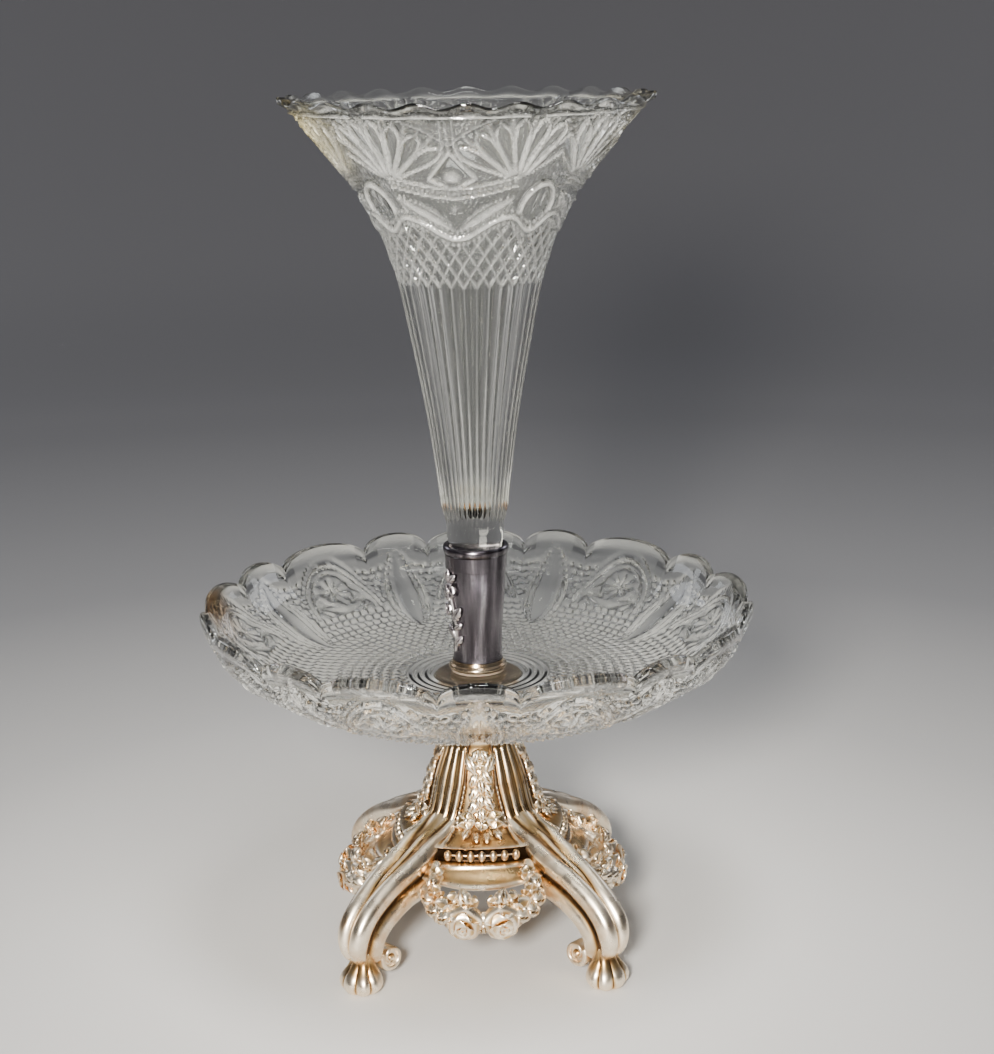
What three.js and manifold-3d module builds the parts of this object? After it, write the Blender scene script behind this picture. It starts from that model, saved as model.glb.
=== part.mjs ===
// Table centerpiece: a silver-plated stand on four scroll legs, a pressed glass bowl clamped on its
// column by a screwed sleeve, and a pressed glass trumpet vase whose peg stands in the sleeve.
// Millimetres, +Z up, origin on the table under the middle of the column. -Y is the front.

import * as THREE from 'three';
import { mergeVertices } from 'three/addons/utils/BufferGeometryUtils.js';
import Module from 'manifold-3d';

const wasm = await Module();
wasm.setup();

// Fits
const seatGap = 0.3;
const threadGap = 0.3;

// Stand casting: a hollow bell with four faces
const bellTopZ = 104;
const neckRadius = 16.2;
const neckZ = 100;
const waistRadius = 25.6;
const waistZ = 71;
const beadFaceRadius = 39;
const beadFaceTopZ = 59.5;
const beadFaceBottomZ = 54.5;
const bandTopRadius = 41.5;
const bandTopZ = 53;
const bandBottomRadius = 51;
const bandBottomZ = 44.5;
const castingWall = 3;
const bellTopThickness = 6;
const faceFlatness = 0.07;
const bandBulge = 0.1;
const reedDepth = 0.9;
const garlandPanelAngle = 30;

// Beaded wire along each face
const beadHeight = 4.4;
const beadWidth = 3.5;
const beadPitch = 5.2;
const beadsPerFace = 7;
const beadWireThickness = 1.6;

// Legs, in the upright plane through each corner of the stand
const legRootRadius = 29.5;
const legRootTopZ = 68.3;
const legRootUnderZ = 36;
const legShoulderWidth = 20.5;
const legWidth = 17;
const kneeRadius = 87.8;
const kneeZ = 25.5;
const ankleRadius = 81;
const ankleZ = 13.5;
const ankleDepth = 13;
const legRollDepth = 2.3;
const voluteRadius = 5.8;
const voluteCentreRadius = 63.2;
const voluteCentreZ = 10.6;
const voluteWidth = 7.4;
const footRadius = 10.6;
const footCentreRadius = 79.6;
const footToeReach = 8.4;

// Rose swags between the legs
const swagTopSpan = 20.5;
const swagTopZ = 55;
const swagTopRadius = 37.5;
const swagRimSpan = 22.6;
const swagRimZ = 42;
const swagRimRadius = 46.5;
const swagDropZ = 35;
const swagDropRadius = 61.5;
const swagStemDiameter = 7.6;
const roseDiameter = 16.8;
const roseSpacing = 16.2;

// Leaf and flower drops down the middle of each face
const dropTopZ = 97;
const dropBottomZ = 63;
const dropStripWidth = 8;
const dropLeafLength = 8.5;
const dropThickness = 2.2;
const dropFlowerDiameter = 8.6;

// Collar, washers, rod and nut
const collarHeight = 22.4;
const collarWaistRadius = 13.6;
const collarTopRadius = 21;
const washerThickness = 1;
const lowerWasherRadius = 20;
const upperWasherRadius = 12.6;
const rodRadius = 4.75;
const nutAcrossFlats = 17;
const nutHeight = 7;
const bridgeRadius = 12;
const bridgeThickness = 2;
const rodTail = 3;

// Glass bowl
const bowlRadius = 127.5;
const bowlHeight = 41;
const bowlLobeDepth = 8;
const bowlValleyInset = 3.5;
const bowlFloorRadius = 75;
const bowlWallMidRadius = 105;
const bowlWallMidHeight = 11.9;
const bowlShoulderRadius = 118;
const bowlShoulderHeight = 21.7;
const bowlGlass = 5.5;
const bowlLobes = 9;
const bowlHoleRadius = 5.6;
const bowlPanelRelief = 1;

// Sleeve
const sleeveFootRadius = 13.5;
const sleeveFootHeight = 4.2;
const sleeveHeight = 59.1;
const sleeveWaistRadius = 11.2;
const sleeveTopRadius = 14.3;
const sleeveWall = 1.1;
const sleeveLipRadius = 15.2;
const sleeveLipHeight = 4;
const plugHeight = 14;
const threadEngagement = 8;
const sprayHeight = 36;
const sprayAngle = -58;

// Cork under the peg
const corkRadius = 9.3;
const corkThickness = 4;

// Trumpet vase
const pegLength = 39;
const pegEndRadius = 9.8;
const pegTopRadius = 12.1;
const polishedBandHeight = 12.3;
const polishedBandRadius = 13.3;
const fluteHeight = 106;
const fluteTopRadius = 30.3;
const throatHeight = 148;
const throatRadius = 40;
const vaseHeight = 203.5;
const vaseRimRadius = 83.4;
const vaseGlass = 4.4;
const vaseBottomGlass = 15;
const fluteCount = 36;
const fluteDepth = 0.55;
const latticeDepth = 0.6;
const vaseScallops = 24;
const vaseScallopDepth = 2.4;

// Facets round each turned piece
const bellFacets = 72;
const bowlFacets = 90;
const vaseFacets = 72;
const turnedFacets = 16;
const smallFacets = 12;
const seatFacets = 24;

// Stack of heights, from the bell's flat top upwards
const collarBottomZ = bellTopZ + seatGap;
const collarTopZ = collarBottomZ + collarHeight;
const lowerWasherZ = collarTopZ + seatGap;
const bowlZ = lowerWasherZ + washerThickness + seatGap;
const upperWasherZ = bowlZ + bowlGlass + seatGap;
const sleeveFootZ = upperWasherZ + washerThickness + seatGap;
const sleeveTubeZ = sleeveFootZ + sleeveFootHeight + seatGap;
const sleeveTopZ = sleeveFootZ + sleeveHeight;
const sleeveLipZ = sleeveTopZ - sleeveLipHeight;
const sleeveTubeTopZ = sleeveLipZ - seatGap;
const corkZ = sleeveFootZ + plugHeight + seatGap;
const pegEndZ = corkZ + corkThickness + seatGap;
const vaseZ = pegEndZ + pegLength;
const rodTopZ = sleeveFootZ + threadEngagement - seatGap;
const bridgeZ = bellTopZ - bellTopThickness - seatGap - bridgeThickness;
const nutZ = bridgeZ - seatGap - nutHeight;
const rodBottomZ = nutZ - rodTail;

const degrees = Math.PI / 180;

// Materials
const finish = (color, roughness, metalness, extra = {}) =>
  new THREE.MeshStandardMaterial({ color, roughness, metalness, flatShading: true, ...extra });
const wornPlate = () => finish(0xc9b79c, 0.34, 0.95);
const turnedPlate = () => finish(0xb8a68c, 0.3, 0.95);
const tarnishedPlate = () => finish(0x5c535c, 0.32, 0.95);
const brass = () => finish(0xa8863f, 0.45, 0.9);
const steel = () => finish(0x7d7b78, 0.5, 0.9);
const cork = () => finish(0xa77f52, 0.9, 0);
const clearGlass = () => finish(0xe4ece6, 0.06, 0, { transparent: true, opacity: 0.4 });

// Solid modelling helpers

// Shared points only, with the triangles that collapsed at a pole or a seam left out
function weld(geometry) {
  const bare = new THREE.BufferGeometry();
  bare.setAttribute('position', geometry.getAttribute('position').clone());
  bare.setIndex(geometry.index ? geometry.index.clone() : null);
  const merged = mergeVertices(bare, 1e-4);
  const kept = [];
  for (let i = 0; i < merged.index.count; i += 3) {
    const [a, b, c] = [0, 1, 2].map((k) => merged.index.getX(i + k));
    if (a !== b && b !== c && c !== a) kept.push(a, b, c);
  }
  merged.setIndex(kept);
  return signedVolume(merged) < 0 ? turnedOver(merged) : merged;
}

function signedVolume(geometry) {
  const position = geometry.getAttribute('position');
  const corners = [0, 1, 2].map(() => new THREE.Vector3());
  let sum = 0;
  for (let i = 0; i < geometry.index.count; i += 3) {
    corners.forEach((corner, k) => corner.fromBufferAttribute(position, geometry.index.getX(i + k)));
    sum += corners[0].dot(corners[1].clone().cross(corners[2])) / 6;
  }
  return sum;
}

function turnedOver(geometry) {
  const index = geometry.index;
  for (let i = 0; i < index.count; i += 3) {
    const [a, b] = [index.getX(i), index.getX(i + 1)];
    index.setX(i, b);
    index.setX(i + 1, a);
  }
  return geometry;
}

function toSolid(geometry) {
  const welded = weld(geometry);
  const vertProperties = new Float32Array(welded.getAttribute('position').array);
  const triVerts = new Uint32Array(welded.index.array);
  return new wasm.Manifold(new wasm.Mesh({ numProp: 3, vertProperties, triVerts }));
}

function fromSolid(solid) {
  const { vertProperties, triVerts } = solid.getMesh();
  const geometry = new THREE.BufferGeometry();
  geometry.setAttribute('position', new THREE.BufferAttribute(vertProperties, 3));
  geometry.setIndex(new THREE.BufferAttribute(triVerts, 1));
  return geometry;
}

const joinAll = (geometries) =>
  geometries.map(toSolid).reduce((whole, next) => whole.add(next));

// Profile of [radius, height] pairs, counter-clockwise with the radius to the right
function revolve(profile, facets) {
  const points = profile.map(([r, z]) => new THREE.Vector2(r, z));
  return new THREE.LatheGeometry(points, facets).rotateX(Math.PI / 2);
}

const ringOf = (profile, facets) => revolve([...profile, profile[0]], facets);

// Moves every point; the mover gets the point, its radius and its angle from the front (-Y)
function sculpt(geometry, mover) {
  const position = geometry.getAttribute('position');
  const point = new THREE.Vector3();
  for (let i = 0; i < position.count; i += 1) {
    point.fromBufferAttribute(position, i);
    mover(point, Math.hypot(point.x, point.y), Math.atan2(point.x, -point.y));
    position.setXYZ(i, point.x, point.y, point.z);
  }
  return geometry;
}

function setRadius(point, radius, angle) {
  point.x = radius * Math.sin(angle);
  point.y = -radius * Math.cos(angle);
}

// Closed skin over a run of equal rings of points, with both ends capped
function loft(rings) {
  const count = rings[0].length;
  const points = rings.flat();
  const faces = [];
  for (let k = 0; k + 1 < rings.length; k += 1) {
    for (let i = 0; i < count; i += 1) {
      const a = k * count + i;
      const b = k * count + ((i + 1) % count);
      faces.push(a, b, b + count, a, b + count, a + count);
    }
  }
  const first = points.length;
  for (const ring of [rings[0], rings[rings.length - 1]]) {
    points.push(ring.reduce((sum, p) => sum.add(p), new THREE.Vector3()).divideScalar(count));
  }
  const lastRing = (rings.length - 1) * count;
  for (let i = 0; i < count; i += 1) {
    const j = (i + 1) % count;
    faces.push(first, j, i, first + 1, lastRing + i, lastRing + j);
  }
  const geometry = new THREE.BufferGeometry().setFromPoints(points);
  geometry.setIndex(faces);
  return geometry;
}

// Smooth run of [radius, height] pairs through a few points
function curveThrough(points, steps) {
  const curve = new THREE.SplineCurve(points.map(([x, y]) => new THREE.Vector2(x, y)));
  return curve.getPoints(steps).map((p) => [p.x, p.y]);
}

// The same run of pairs, set inwards by the thickness of the wall
function setInwards(run, wall) {
  return run.map(([r, z], i) => {
    const [r0, z0] = run[Math.max(i - 1, 0)];
    const [r1, z1] = run[Math.min(i + 1, run.length - 1)];
    const length = Math.hypot(r1 - r0, z1 - z0);
    return [r - (wall * (z1 - z0)) / length, z + (wall * (r1 - r0)) / length];
  });
}

const mix = (from, to, t) => from + (to - from) * t;
const ramp = (value, from, to) => THREE.MathUtils.clamp((value - from) / (to - from), 0, 1);
const pairAt = ([r, z], side = 0) => new THREE.Vector3(side, -r, z);

// Ornament shapes, each about the origin

// A pointed leaf along Z, its face towards -Y
function leaf(length, width, thickness) {
  const half = length / 2;
  const profile = [[0, -half], [0.5, -half * 0.25], [0.4, half * 0.35], [0, half]];
  return revolve(profile, 4).scale(width, thickness, 1);
}

// An open flower facing -Y, with its petals as a scalloped rim round a button
function blossom(diameter, petals) {
  const r = diameter / 2;
  const profile = [[0, -0.45 * r], [r, -0.05 * r], [0.7 * r, 0.5 * r], [0, 0.55 * r]];
  const flower = sculpt(revolve(profile, petals * 2), (point, radius, angle) => {
    const notch = radius > 0.7 * r ? 1 - 0.09 * (1 + Math.cos(petals * angle)) : 1;
    setRadius(point, radius * notch, angle);
  });
  return flower.rotateX(Math.PI / 2);
}

// A full rose facing -Y: an outer whorl, a groove and a folded heart
function rose(diameter) {
  const r = diameter / 2;
  const petals = 4;
  const profile = [
    [0, -0.55 * r], [r, -0.05 * r], [0.8 * r, 0.5 * r], [0.54 * r, 0.34 * r], [0.4 * r, 0.68 * r], [0, 0.62 * r],
  ];
  const flower = sculpt(revolve(profile, petals * 2), (point, radius, angle) => {
    const notch = radius > 0.7 * r ? 1 - 0.06 * (1 + Math.cos(petals * angle)) : 1;
    setRadius(point, radius * notch, angle);
  });
  return flower.rotateX(Math.PI / 2);
}

// Stand casting

const bellOuter = [
  [bandBottomRadius, bandBottomZ],
  [bandTopRadius, bandTopZ],
  [bandTopRadius, beadFaceBottomZ - 0.6],
  [beadFaceRadius, beadFaceBottomZ],
  [beadFaceRadius, beadFaceTopZ],
  ...curveThrough([
    [beadFaceRadius - 1.5, beadFaceTopZ + 1.2],
    [mix(waistRadius, beadFaceRadius, 0.35), mix(waistZ, beadFaceTopZ, 0.6)],
    [waistRadius, waistZ],
    [mix(waistRadius, neckRadius, 0.56), mix(waistZ, neckZ, 0.6)],
    [neckRadius, neckZ],
  ], 4),
  [neckRadius, bellTopZ],
];

const bellRadiusAt = (z) => {
  for (let i = 1; i < bellOuter.length; i += 1) {
    const [r0, z0] = bellOuter[i - 1];
    const [r1, z1] = bellOuter[i];
    if (z >= z0 && z <= z1 && z1 > z0) return mix(r0, r1, (z - z0) / (z1 - z0));
  }
  return z < bandBottomZ ? bandBottomRadius : neckRadius;
};

// Nearly flat faces at the beads, bulged faces at the foot of the band, and round above the waist
function faceShape(z, angle) {
  const corner = (1 - Math.cos(4 * angle)) / 2;
  const flat = faceFlatness * ramp(z, waistZ, beadFaceTopZ) * ramp(z, bandBottomZ, bandTopZ);
  const bulge = bandBulge * ramp(z, bandTopZ, bandBottomZ);
  return 1 + (flat - bulge) * corner;
}

// Angle in degrees from the middle of the nearest face, 0 to 45
const fromFace = (angle) => Math.abs(THREE.MathUtils.euclideanModulo(angle / degrees + 45, 90) - 45);

const reedsReach = (z, angle) => fromFace(angle) > garlandPanelAngle / 2 - 0.01 && z > waistZ - 4 && z < neckZ + 1;

// Six reeds between the plain panels of two neighbouring faces
function reedAt(z, angle) {
  if (!reedsReach(z, angle)) return 0;
  const reedPitch = (90 - garlandPanelAngle) / 6;
  return (-reedDepth / 2) * Math.cos(((fromFace(angle) - garlandPanelAngle / 2) / reedPitch) * 2 * Math.PI);
}

function columnCasting() {
  const inner = [
    [rodRadius + threadGap, bellTopZ],
    [rodRadius + threadGap, bellTopZ - bellTopThickness],
    [neckRadius - castingWall, bellTopZ - bellTopThickness],
    [waistRadius - castingWall, waistZ],
    [beadFaceRadius - castingWall - 2, beadFaceTopZ - castingWall],
    [bandBottomRadius - castingWall, bandBottomZ],
  ];
  return sculpt(ringOf([...bellOuter, ...inner], bellFacets), (point, radius, angle) => {
    const outside = radius > bellRadiusAt(point.z) - castingWall / 2;
    const shaped = radius > rodRadius + 1 ? radius * faceShape(point.z, angle) : radius;
    setRadius(point, shaped + (outside ? reedAt(point.z, angle) : 0), angle);
  });
}

// Everything inside the casting's skin, grown by a clearance, to cut what is soldered on to it
function bellEnvelope(clearance, facets) {
  const grown = bellOuter.map(([r, z]) => [(r + clearance) / Math.cos(Math.PI / facets), z]);
  grown[0][1] -= clearance * 0.7;
  const profile = [[0, grown[0][1]], ...grown, [0, bellTopZ]];
  return toSolid(sculpt(revolve(profile, facets), (point, radius, angle) => {
    const reed = radius > 1 && reedsReach(point.z, angle) ? reedDepth / 2 : 0;
    setRadius(point, radius * faceShape(point.z, angle) + reed, angle);
  }));
}

const legSeat = bellEnvelope(seatGap * 1.6, seatFacets);
const swagSeat = bellEnvelope(seatGap, bellFacets);

// A turned collar: reel foot, waist and a dished top that carries the bowl
function seatCollar() {
  const h = collarHeight;
  const outer = [
    [neckRadius - 0.6, 0],
    [neckRadius - 0.6, 2.4],
    [collarWaistRadius, 4.2],
    [collarWaistRadius, 0.42 * h],
    [mix(collarWaistRadius, collarTopRadius, 0.35), 0.7 * h],
    [collarTopRadius, h - 2.2],
    [collarTopRadius, h],
  ];
  const bore = rodRadius + threadGap;
  return ringOf([...outer, [bore, h], [bore, 0]], turnedFacets);
}

const washer = (radius, bore, height, facets) =>
  ringOf([[radius, 0], [radius, height], [bore, height], [bore, 0]], facets);

const disc = (radius, height, facets) =>
  revolve([[0, 0], [radius, 0], [radius, height], [0, height]], facets);

function hexNut() {
  const corner = nutAcrossFlats / Math.sqrt(3);
  const bore = disc(rodRadius + threadGap, nutHeight + 2, smallFacets).translate(0, 0, -1);
  return fromSolid(toSolid(disc(corner, nutHeight, 6)).subtract(toSolid(bore)));
}

// Legs

// Section across a leg: two big rolls on the outer face, and a third down each side that ends in the scroll
function legSection(outer, inner, width, roll) {
  const back = new THREE.Vector3().subVectors(inner, outer);
  const depth = back.length();
  back.normalize();
  const half = width / 2;
  const side = [
    [half * 0.24, roll * 0.3],
    [half * 0.52, 0],
    [half * 0.86, roll * 0.4],
    [half, roll * 1.4],
    [half - roll * 0.75, Math.max(depth * 0.42, roll * 1.6)],
    [half, depth * 0.62],
    [half - roll * 0.3, depth * 0.86],
    [half * 0.62, depth],
  ];
  const mirrored = side.map(([s, d]) => [-s, d]).reverse();
  return [[0, roll * 1.15], ...side, ...mirrored]
    .map(([s, d]) => outer.clone().addScaledVector(back, d).setX(s));
}

// The leg's arm, or with a clearance the plain space round it
function legArm(clearance = 0) {
  const shoulder = legShoulderWidth;
  const stations = [
    { outer: [legRootRadius, legRootTopZ], inner: [legRootRadius, legRootUnderZ], width: shoulder * 0.9 },
    { outer: [legRootRadius + 11, legRootTopZ - 4.8], inner: [legRootRadius + 10, legRootUnderZ], width: shoulder },
    { outer: [kneeRadius - 35.3, kneeZ + 31.2], inner: [kneeRadius - 35, legRootUnderZ - 1.5], width: shoulder * 0.9 },
    { outer: [kneeRadius - 21.5, kneeZ + 24.5], inner: [kneeRadius - 25.3, kneeZ + 4], width: legWidth * 1.08 },
    { outer: [kneeRadius - 10.4, kneeZ + 17], inner: [kneeRadius - 20, kneeZ - 0.5], width: legWidth },
    { outer: [kneeRadius - 3, kneeZ + 8.7], inner: [kneeRadius - 17.4, kneeZ - 4.5], width: legWidth },
    { outer: [kneeRadius, kneeZ], inner: [kneeRadius - 17.4, kneeZ - 8], width: legWidth * 0.97 },
    { outer: [kneeRadius - 1.4, kneeZ - 7], inner: [kneeRadius - 18.5, ankleZ], width: legWidth * 0.85 },
    { outer: [ankleRadius, ankleZ - 2], inner: [ankleRadius - ankleDepth, ankleZ - 5], width: legWidth * 0.6 },
  ];
  const along = (key) => new THREE.SplineCurve(stations.map((s) => new THREE.Vector2(...s[key])));
  const outerCurve = along('outer');
  const innerCurve = along('inner');
  const steps = 8;
  const rings = [];
  for (let k = 0; k <= steps; k += 1) {
    const t = k / steps;
    const slot = Math.min(Math.floor(t * (stations.length - 1)), stations.length - 2);
    const local = t * (stations.length - 1) - slot;
    const width = mix(stations[slot].width, stations[slot + 1].width, local) + 2 * clearance;
    const fade = Math.min(1, 0.35 + 5 * t, 0.35 + 4 * (1 - t));
    const outer = pairAt(outerCurve.getPoint(t).toArray());
    const inner = pairAt(innerCurve.getPoint(t).toArray());
    const grow = new THREE.Vector3().subVectors(outer, inner).setLength(clearance);
    rings.push(legSection(outer.add(grow), inner.sub(grow), width, clearance > 0 ? 0 : legRollDepth * fade));
  }
  return loft(rings);
}

// The scroll that ends the leg's back edge: a drum with a coiled outline and a raised eye
function volute() {
  const steps = 12;
  const outline = [];
  for (let i = 0; i < steps; i += 1) {
    const radius = voluteRadius * mix(1, 0.78, i / steps);
    const angle = (i / steps) * 2 * Math.PI + 2.6;
    outline.push(new THREE.Vector2(radius * Math.cos(angle), radius * Math.sin(angle)));
  }
  const drum = new THREE.ExtrudeGeometry(new THREE.Shape(outline), { depth: voluteWidth, bevelEnabled: false });
  const eye = disc(voluteRadius * 0.4, voluteWidth + 1.6, 8).translate(0, 0, -0.8);
  return [drum, eye].map((piece) => piece.translate(0, 0, -voluteWidth / 2)
    .rotateY(Math.PI / 2).rotateX(Math.PI / 2).translate(0, -voluteCentreRadius, voluteCentreZ));
}

// Shell foot: a ribbed fan that spreads from the ankle and is cut flat where it stands
function shellFoot() {
  const ribs = 3;
  const levels = [
    { z: ankleZ + 3, size: 0.4, back: -0.5 },
    { z: ankleZ - 1.5, size: 0.55, back: -0.35 },
    { z: ankleZ * 0.58, size: 0.86, back: 0 },
    { z: ankleZ * 0.3, size: 1, back: 0.15 },
    { z: 0, size: 0.82, back: 0.1 },
  ];
  const count = ribs * 4;
  const rings = levels.map(({ z, size, back }) => {
    const ring = [];
    for (let i = 0; i < count; i += 1) {
      const angle = (i / count) * 2 * Math.PI;
      const outward = Math.cos(angle);
      const fan = outward > -0.2 ? 0.05 * Math.cos(2 * ribs * angle) : 0;
      const radius = footRadius * size * (1 + fan * Math.min(1, size));
      const reach = outward > 0 ? footToeReach / footRadius : 0.95;
      const r = footCentreRadius + back * 2 + radius * outward * reach;
      ring.push(new THREE.Vector3(radius * Math.sin(angle), -r, z));
    }
    return ring;
  });
  return loft(rings);
}

function leg(cornerAngle) {
  const turned = joinAll([legArm(), ...volute(), shellFoot()]).rotate([0, 0, cornerAngle]);
  return fromSolid(turned.subtract(legSeat));
}

// Swags

// From beside the bead strip down over the band's end, then hanging free in front of the gap
function swagPath() {
  const half = [
    [swagTopSpan, swagTopRadius, swagTopZ],
    [mix(swagTopSpan, swagRimSpan, 0.6), mix(swagTopRadius, swagRimRadius, 0.6), mix(swagTopZ, swagRimZ, 0.7)],
    [swagRimSpan, swagRimRadius, swagRimZ],
    [swagRimSpan * 0.93, mix(swagRimRadius, swagDropRadius, 0.48), mix(swagRimZ, swagDropZ, 0.62)],
    [swagRimSpan * 0.66, mix(swagRimRadius, swagDropRadius, 0.82), mix(swagRimZ, swagDropZ, 0.88)],
  ];
  const left = half.map(([side, r, z]) => pairAt([r, z], -side));
  const right = half.map(([side, r, z]) => pairAt([r, z], side)).reverse();
  return new THREE.CatmullRomCurve3([...left, pairAt([swagDropRadius, swagDropZ]), ...right]);
}

function roundSection(diameter, sides) {
  const points = [];
  for (let i = 0; i < sides; i += 1) {
    const angle = (i / sides) * 2 * Math.PI;
    points.push(new THREE.Vector2((diameter / 2) * Math.cos(angle), (diameter / 2) * Math.sin(angle)));
  }
  return new THREE.Shape(points);
}

function swag(faceAngle) {
  const path = swagPath();
  const stem = new THREE.ExtrudeGeometry(roundSection(swagStemDiameter, 6), { steps: 12, extrudePath: path });
  const pieces = [stem];
  for (const side of [-1, 1]) {
    pieces.push(rose(roseDiameter).rotateX(0.2).rotateZ(side * 0.15)
      .translate(side * roseSpacing / 2, -swagDropRadius - 0.8, swagDropZ));
    const put = (piece, share, turn, lift) => {
      const { x, y, z } = path.getPoint(0.5 + side * share);
      pieces.push(piece.rotateZ(side * turn).translate(x, y - lift, z));
    };
    put(blossom(roseDiameter * 0.8, 5), 0.2, 0.5, 0.5);
    put(leaf(13, 9, 4), 0.29, 0.9, 1.6);
    pieces.push(leaf(14, 8.5, 3.6).rotateX(-0.25).rotateY(side * 0.3)
      .translate(side * roseSpacing * 0.42, -swagDropRadius + 1.8, swagDropZ + roseDiameter * 0.46));
  }
  const between = [-45, 45].map((corner) => toSolid(legArm(seatGap * 1.2)).rotate([0, 0, corner]));
  const trimmed = between.reduce((whole, arm) => whole.subtract(arm), joinAll(pieces));
  return fromSolid(trimmed.rotate([0, 0, faceAngle]).subtract(swagSeat));
}

// Leaf and flower drop, laid on the sloping face of the bell
function dropGarland() {
  const slopeAt = (z) => Math.atan2(bellRadiusAt(z - 1.5) - bellRadiusAt(z + 1.5), 3);
  const layOn = (piece, side, z, lift) => {
    const slope = slopeAt(z);
    const out = bellRadiusAt(z) + lift * Math.cos(slope);
    return piece.rotateX(-slope).translate(side, -out, z + lift * Math.sin(slope));
  };
  const stations = 4;
  const strip = [];
  for (let i = 0; i <= stations; i += 1) {
    const t = i / stations;
    const z = mix(dropBottomZ + dropFlowerDiameter * 0.5, dropTopZ, t);
    const half = (dropStripWidth / 2) * mix(1, 0.62, t);
    const [back, front] = [seatGap * 1.6, dropThickness * 0.95].map((lift) => bellRadiusAt(z) + lift);
    strip.push([
      pairAt([back, z], -half), pairAt([back, z], half), pairAt([front, z], half * 0.8), pairAt([front, z], -half * 0.8),
    ]);
  }
  const pieces = [loft(strip)];
  const leafPairs = 3;
  for (let i = 0; i < leafPairs; i += 1) {
    const t = (i + 0.6) / leafPairs;
    const z = mix(dropBottomZ + dropFlowerDiameter, dropTopZ - 1, t);
    const side = dropStripWidth * mix(0.44, 0.26, t);
    for (const hand of [-1, 1]) {
      const sprig = leaf(dropLeafLength, dropLeafLength * 0.5, dropThickness).rotateY(hand * 0.5);
      pieces.push(layOn(sprig, hand * side, z, dropThickness / 2 + seatGap * 1.8));
    }
  }
  const flowerLift = dropFlowerDiameter * 0.28 + seatGap;
  for (const [hand, rise] of [[-1, 0.5], [0, 0.38], [1, 0.5]]) {
    const flower = blossom(dropFlowerDiameter, 4);
    pieces.push(layOn(flower, hand * dropFlowerDiameter * 0.64, dropBottomZ + rise * dropFlowerDiameter, flowerLift));
  }
  return fromSolid(joinAll(pieces));
}

// Beaded wire in the hollow under the bell's flare
function beadWire() {
  const middleZ = (beadFaceTopZ + beadFaceBottomZ) / 2;
  const half = ((beadsPerFace - 1) / 2) * beadPitch;
  const onFace = (x) => {
    const angle = Math.asin(x / beadFaceRadius);
    return beadFaceRadius * faceShape(middleZ, angle) * Math.cos(angle) + seatGap * 1.2;
  };
  const strip = [];
  const stations = 4;
  for (let i = 0; i <= stations; i += 1) {
    const x = mix(-half - 1, half + 1, i / stations);
    const [back, front] = [onFace(x), onFace(x) + beadWireThickness];
    const rise = beadWireThickness / 2;
    strip.push([
      pairAt([back, middleZ - rise], x), pairAt([front, middleZ - rise], x),
      pairAt([front, middleZ + rise], x), pairAt([back, middleZ + rise], x),
    ]);
  }
  const pieces = [loft(strip)];
  for (let i = 0; i < beadsPerFace; i += 1) {
    const x = -half + i * beadPitch;
    pieces.push(new THREE.SphereGeometry(beadWidth / 2, 5, 3).rotateX(Math.PI / 2).scale(1, 1, beadHeight / beadWidth)
      .translate(x, -onFace(x) - beadWidth / 2, middleZ));
  }
  return fromSolid(joinAll(pieces));
}

// Bowl

// Rise of the rim, 0 in a valley and 1 on a lobe, for large and small lobes in turn
function lobeAt(angle) {
  const period = 360 / bowlLobes;
  const smallHalf = period / 5;
  const within = (((angle / degrees + period / 2) % period) + period) % period - period / 2;
  const small = Math.abs(within) <= smallHalf;
  const t = small ? within / smallHalf : (Math.abs(within) - period / 2) / (period / 2 - smallHalf);
  return Math.sqrt(Math.max(0, 1 - t * t));
}

// Outer skin of the bowl's wall, from the floor to the rim
const bowlWall = curveThrough([
  [bowlFloorRadius, 0],
  [mix(bowlFloorRadius, bowlWallMidRadius, 0.5), bowlWallMidHeight * 0.24],
  [bowlWallMidRadius, bowlWallMidHeight],
  [bowlShoulderRadius, bowlShoulderHeight],
  [bowlRadius, bowlHeight],
], 6);

// Pressed panels that stand out under the wall, one below each lobe of the rim
function panelRise(radius, z, angle) {
  const skin = bowlWall.find(([r]) => r > radius - bowlGlass / 3);
  if (z < 0.1 || !skin || z > skin[1] + bowlGlass / 3) return 0;
  return bowlPanelRelief * lobeAt(angle) * ramp(z, bowlHeight * 0.85, bowlHeight * 0.6);
}

function glassBowl() {
  const inner = setInwards(bowlWall, bowlGlass).reverse();
  inner[0] = [bowlRadius - bowlGlass * 0.62, bowlHeight];
  const profile = [[bowlHoleRadius, 0], ...bowlWall, ...inner, [bowlHoleRadius, bowlGlass]];
  return sculpt(ringOf(profile, bowlFacets), (point, radius, angle) => {
    const dip = ramp(point.z, bowlShoulderHeight * 0.75, bowlHeight) * (1 - lobeAt(angle));
    const rise = panelRise(radius, point.z, angle);
    point.z -= bowlLobeDepth * dip + rise * 0.6;
    setRadius(point, radius - bowlValleyInset * dip + rise * 0.8, angle);
  });
}

// Sleeve

function sleeveTube() {
  const h = sleeveTubeTopZ - sleeveTubeZ;
  const outer = [
    [sleeveWaistRadius, 0],
    [sleeveWaistRadius, 0.17 * h],
    [mix(sleeveWaistRadius, sleeveTopRadius, 0.4), 0.56 * h],
    [mix(sleeveWaistRadius, sleeveTopRadius, 0.77), 0.87 * h],
    [mix(sleeveWaistRadius, sleeveTopRadius, 0.9), 0.885 * h],
    [sleeveTopRadius, h],
  ];
  const inner = outer.filter((_, i) => i !== 3).map(([r, z]) => [r - sleeveWall, z]).reverse();
  return ringOf([...outer, ...inner], turnedFacets);
}

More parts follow.
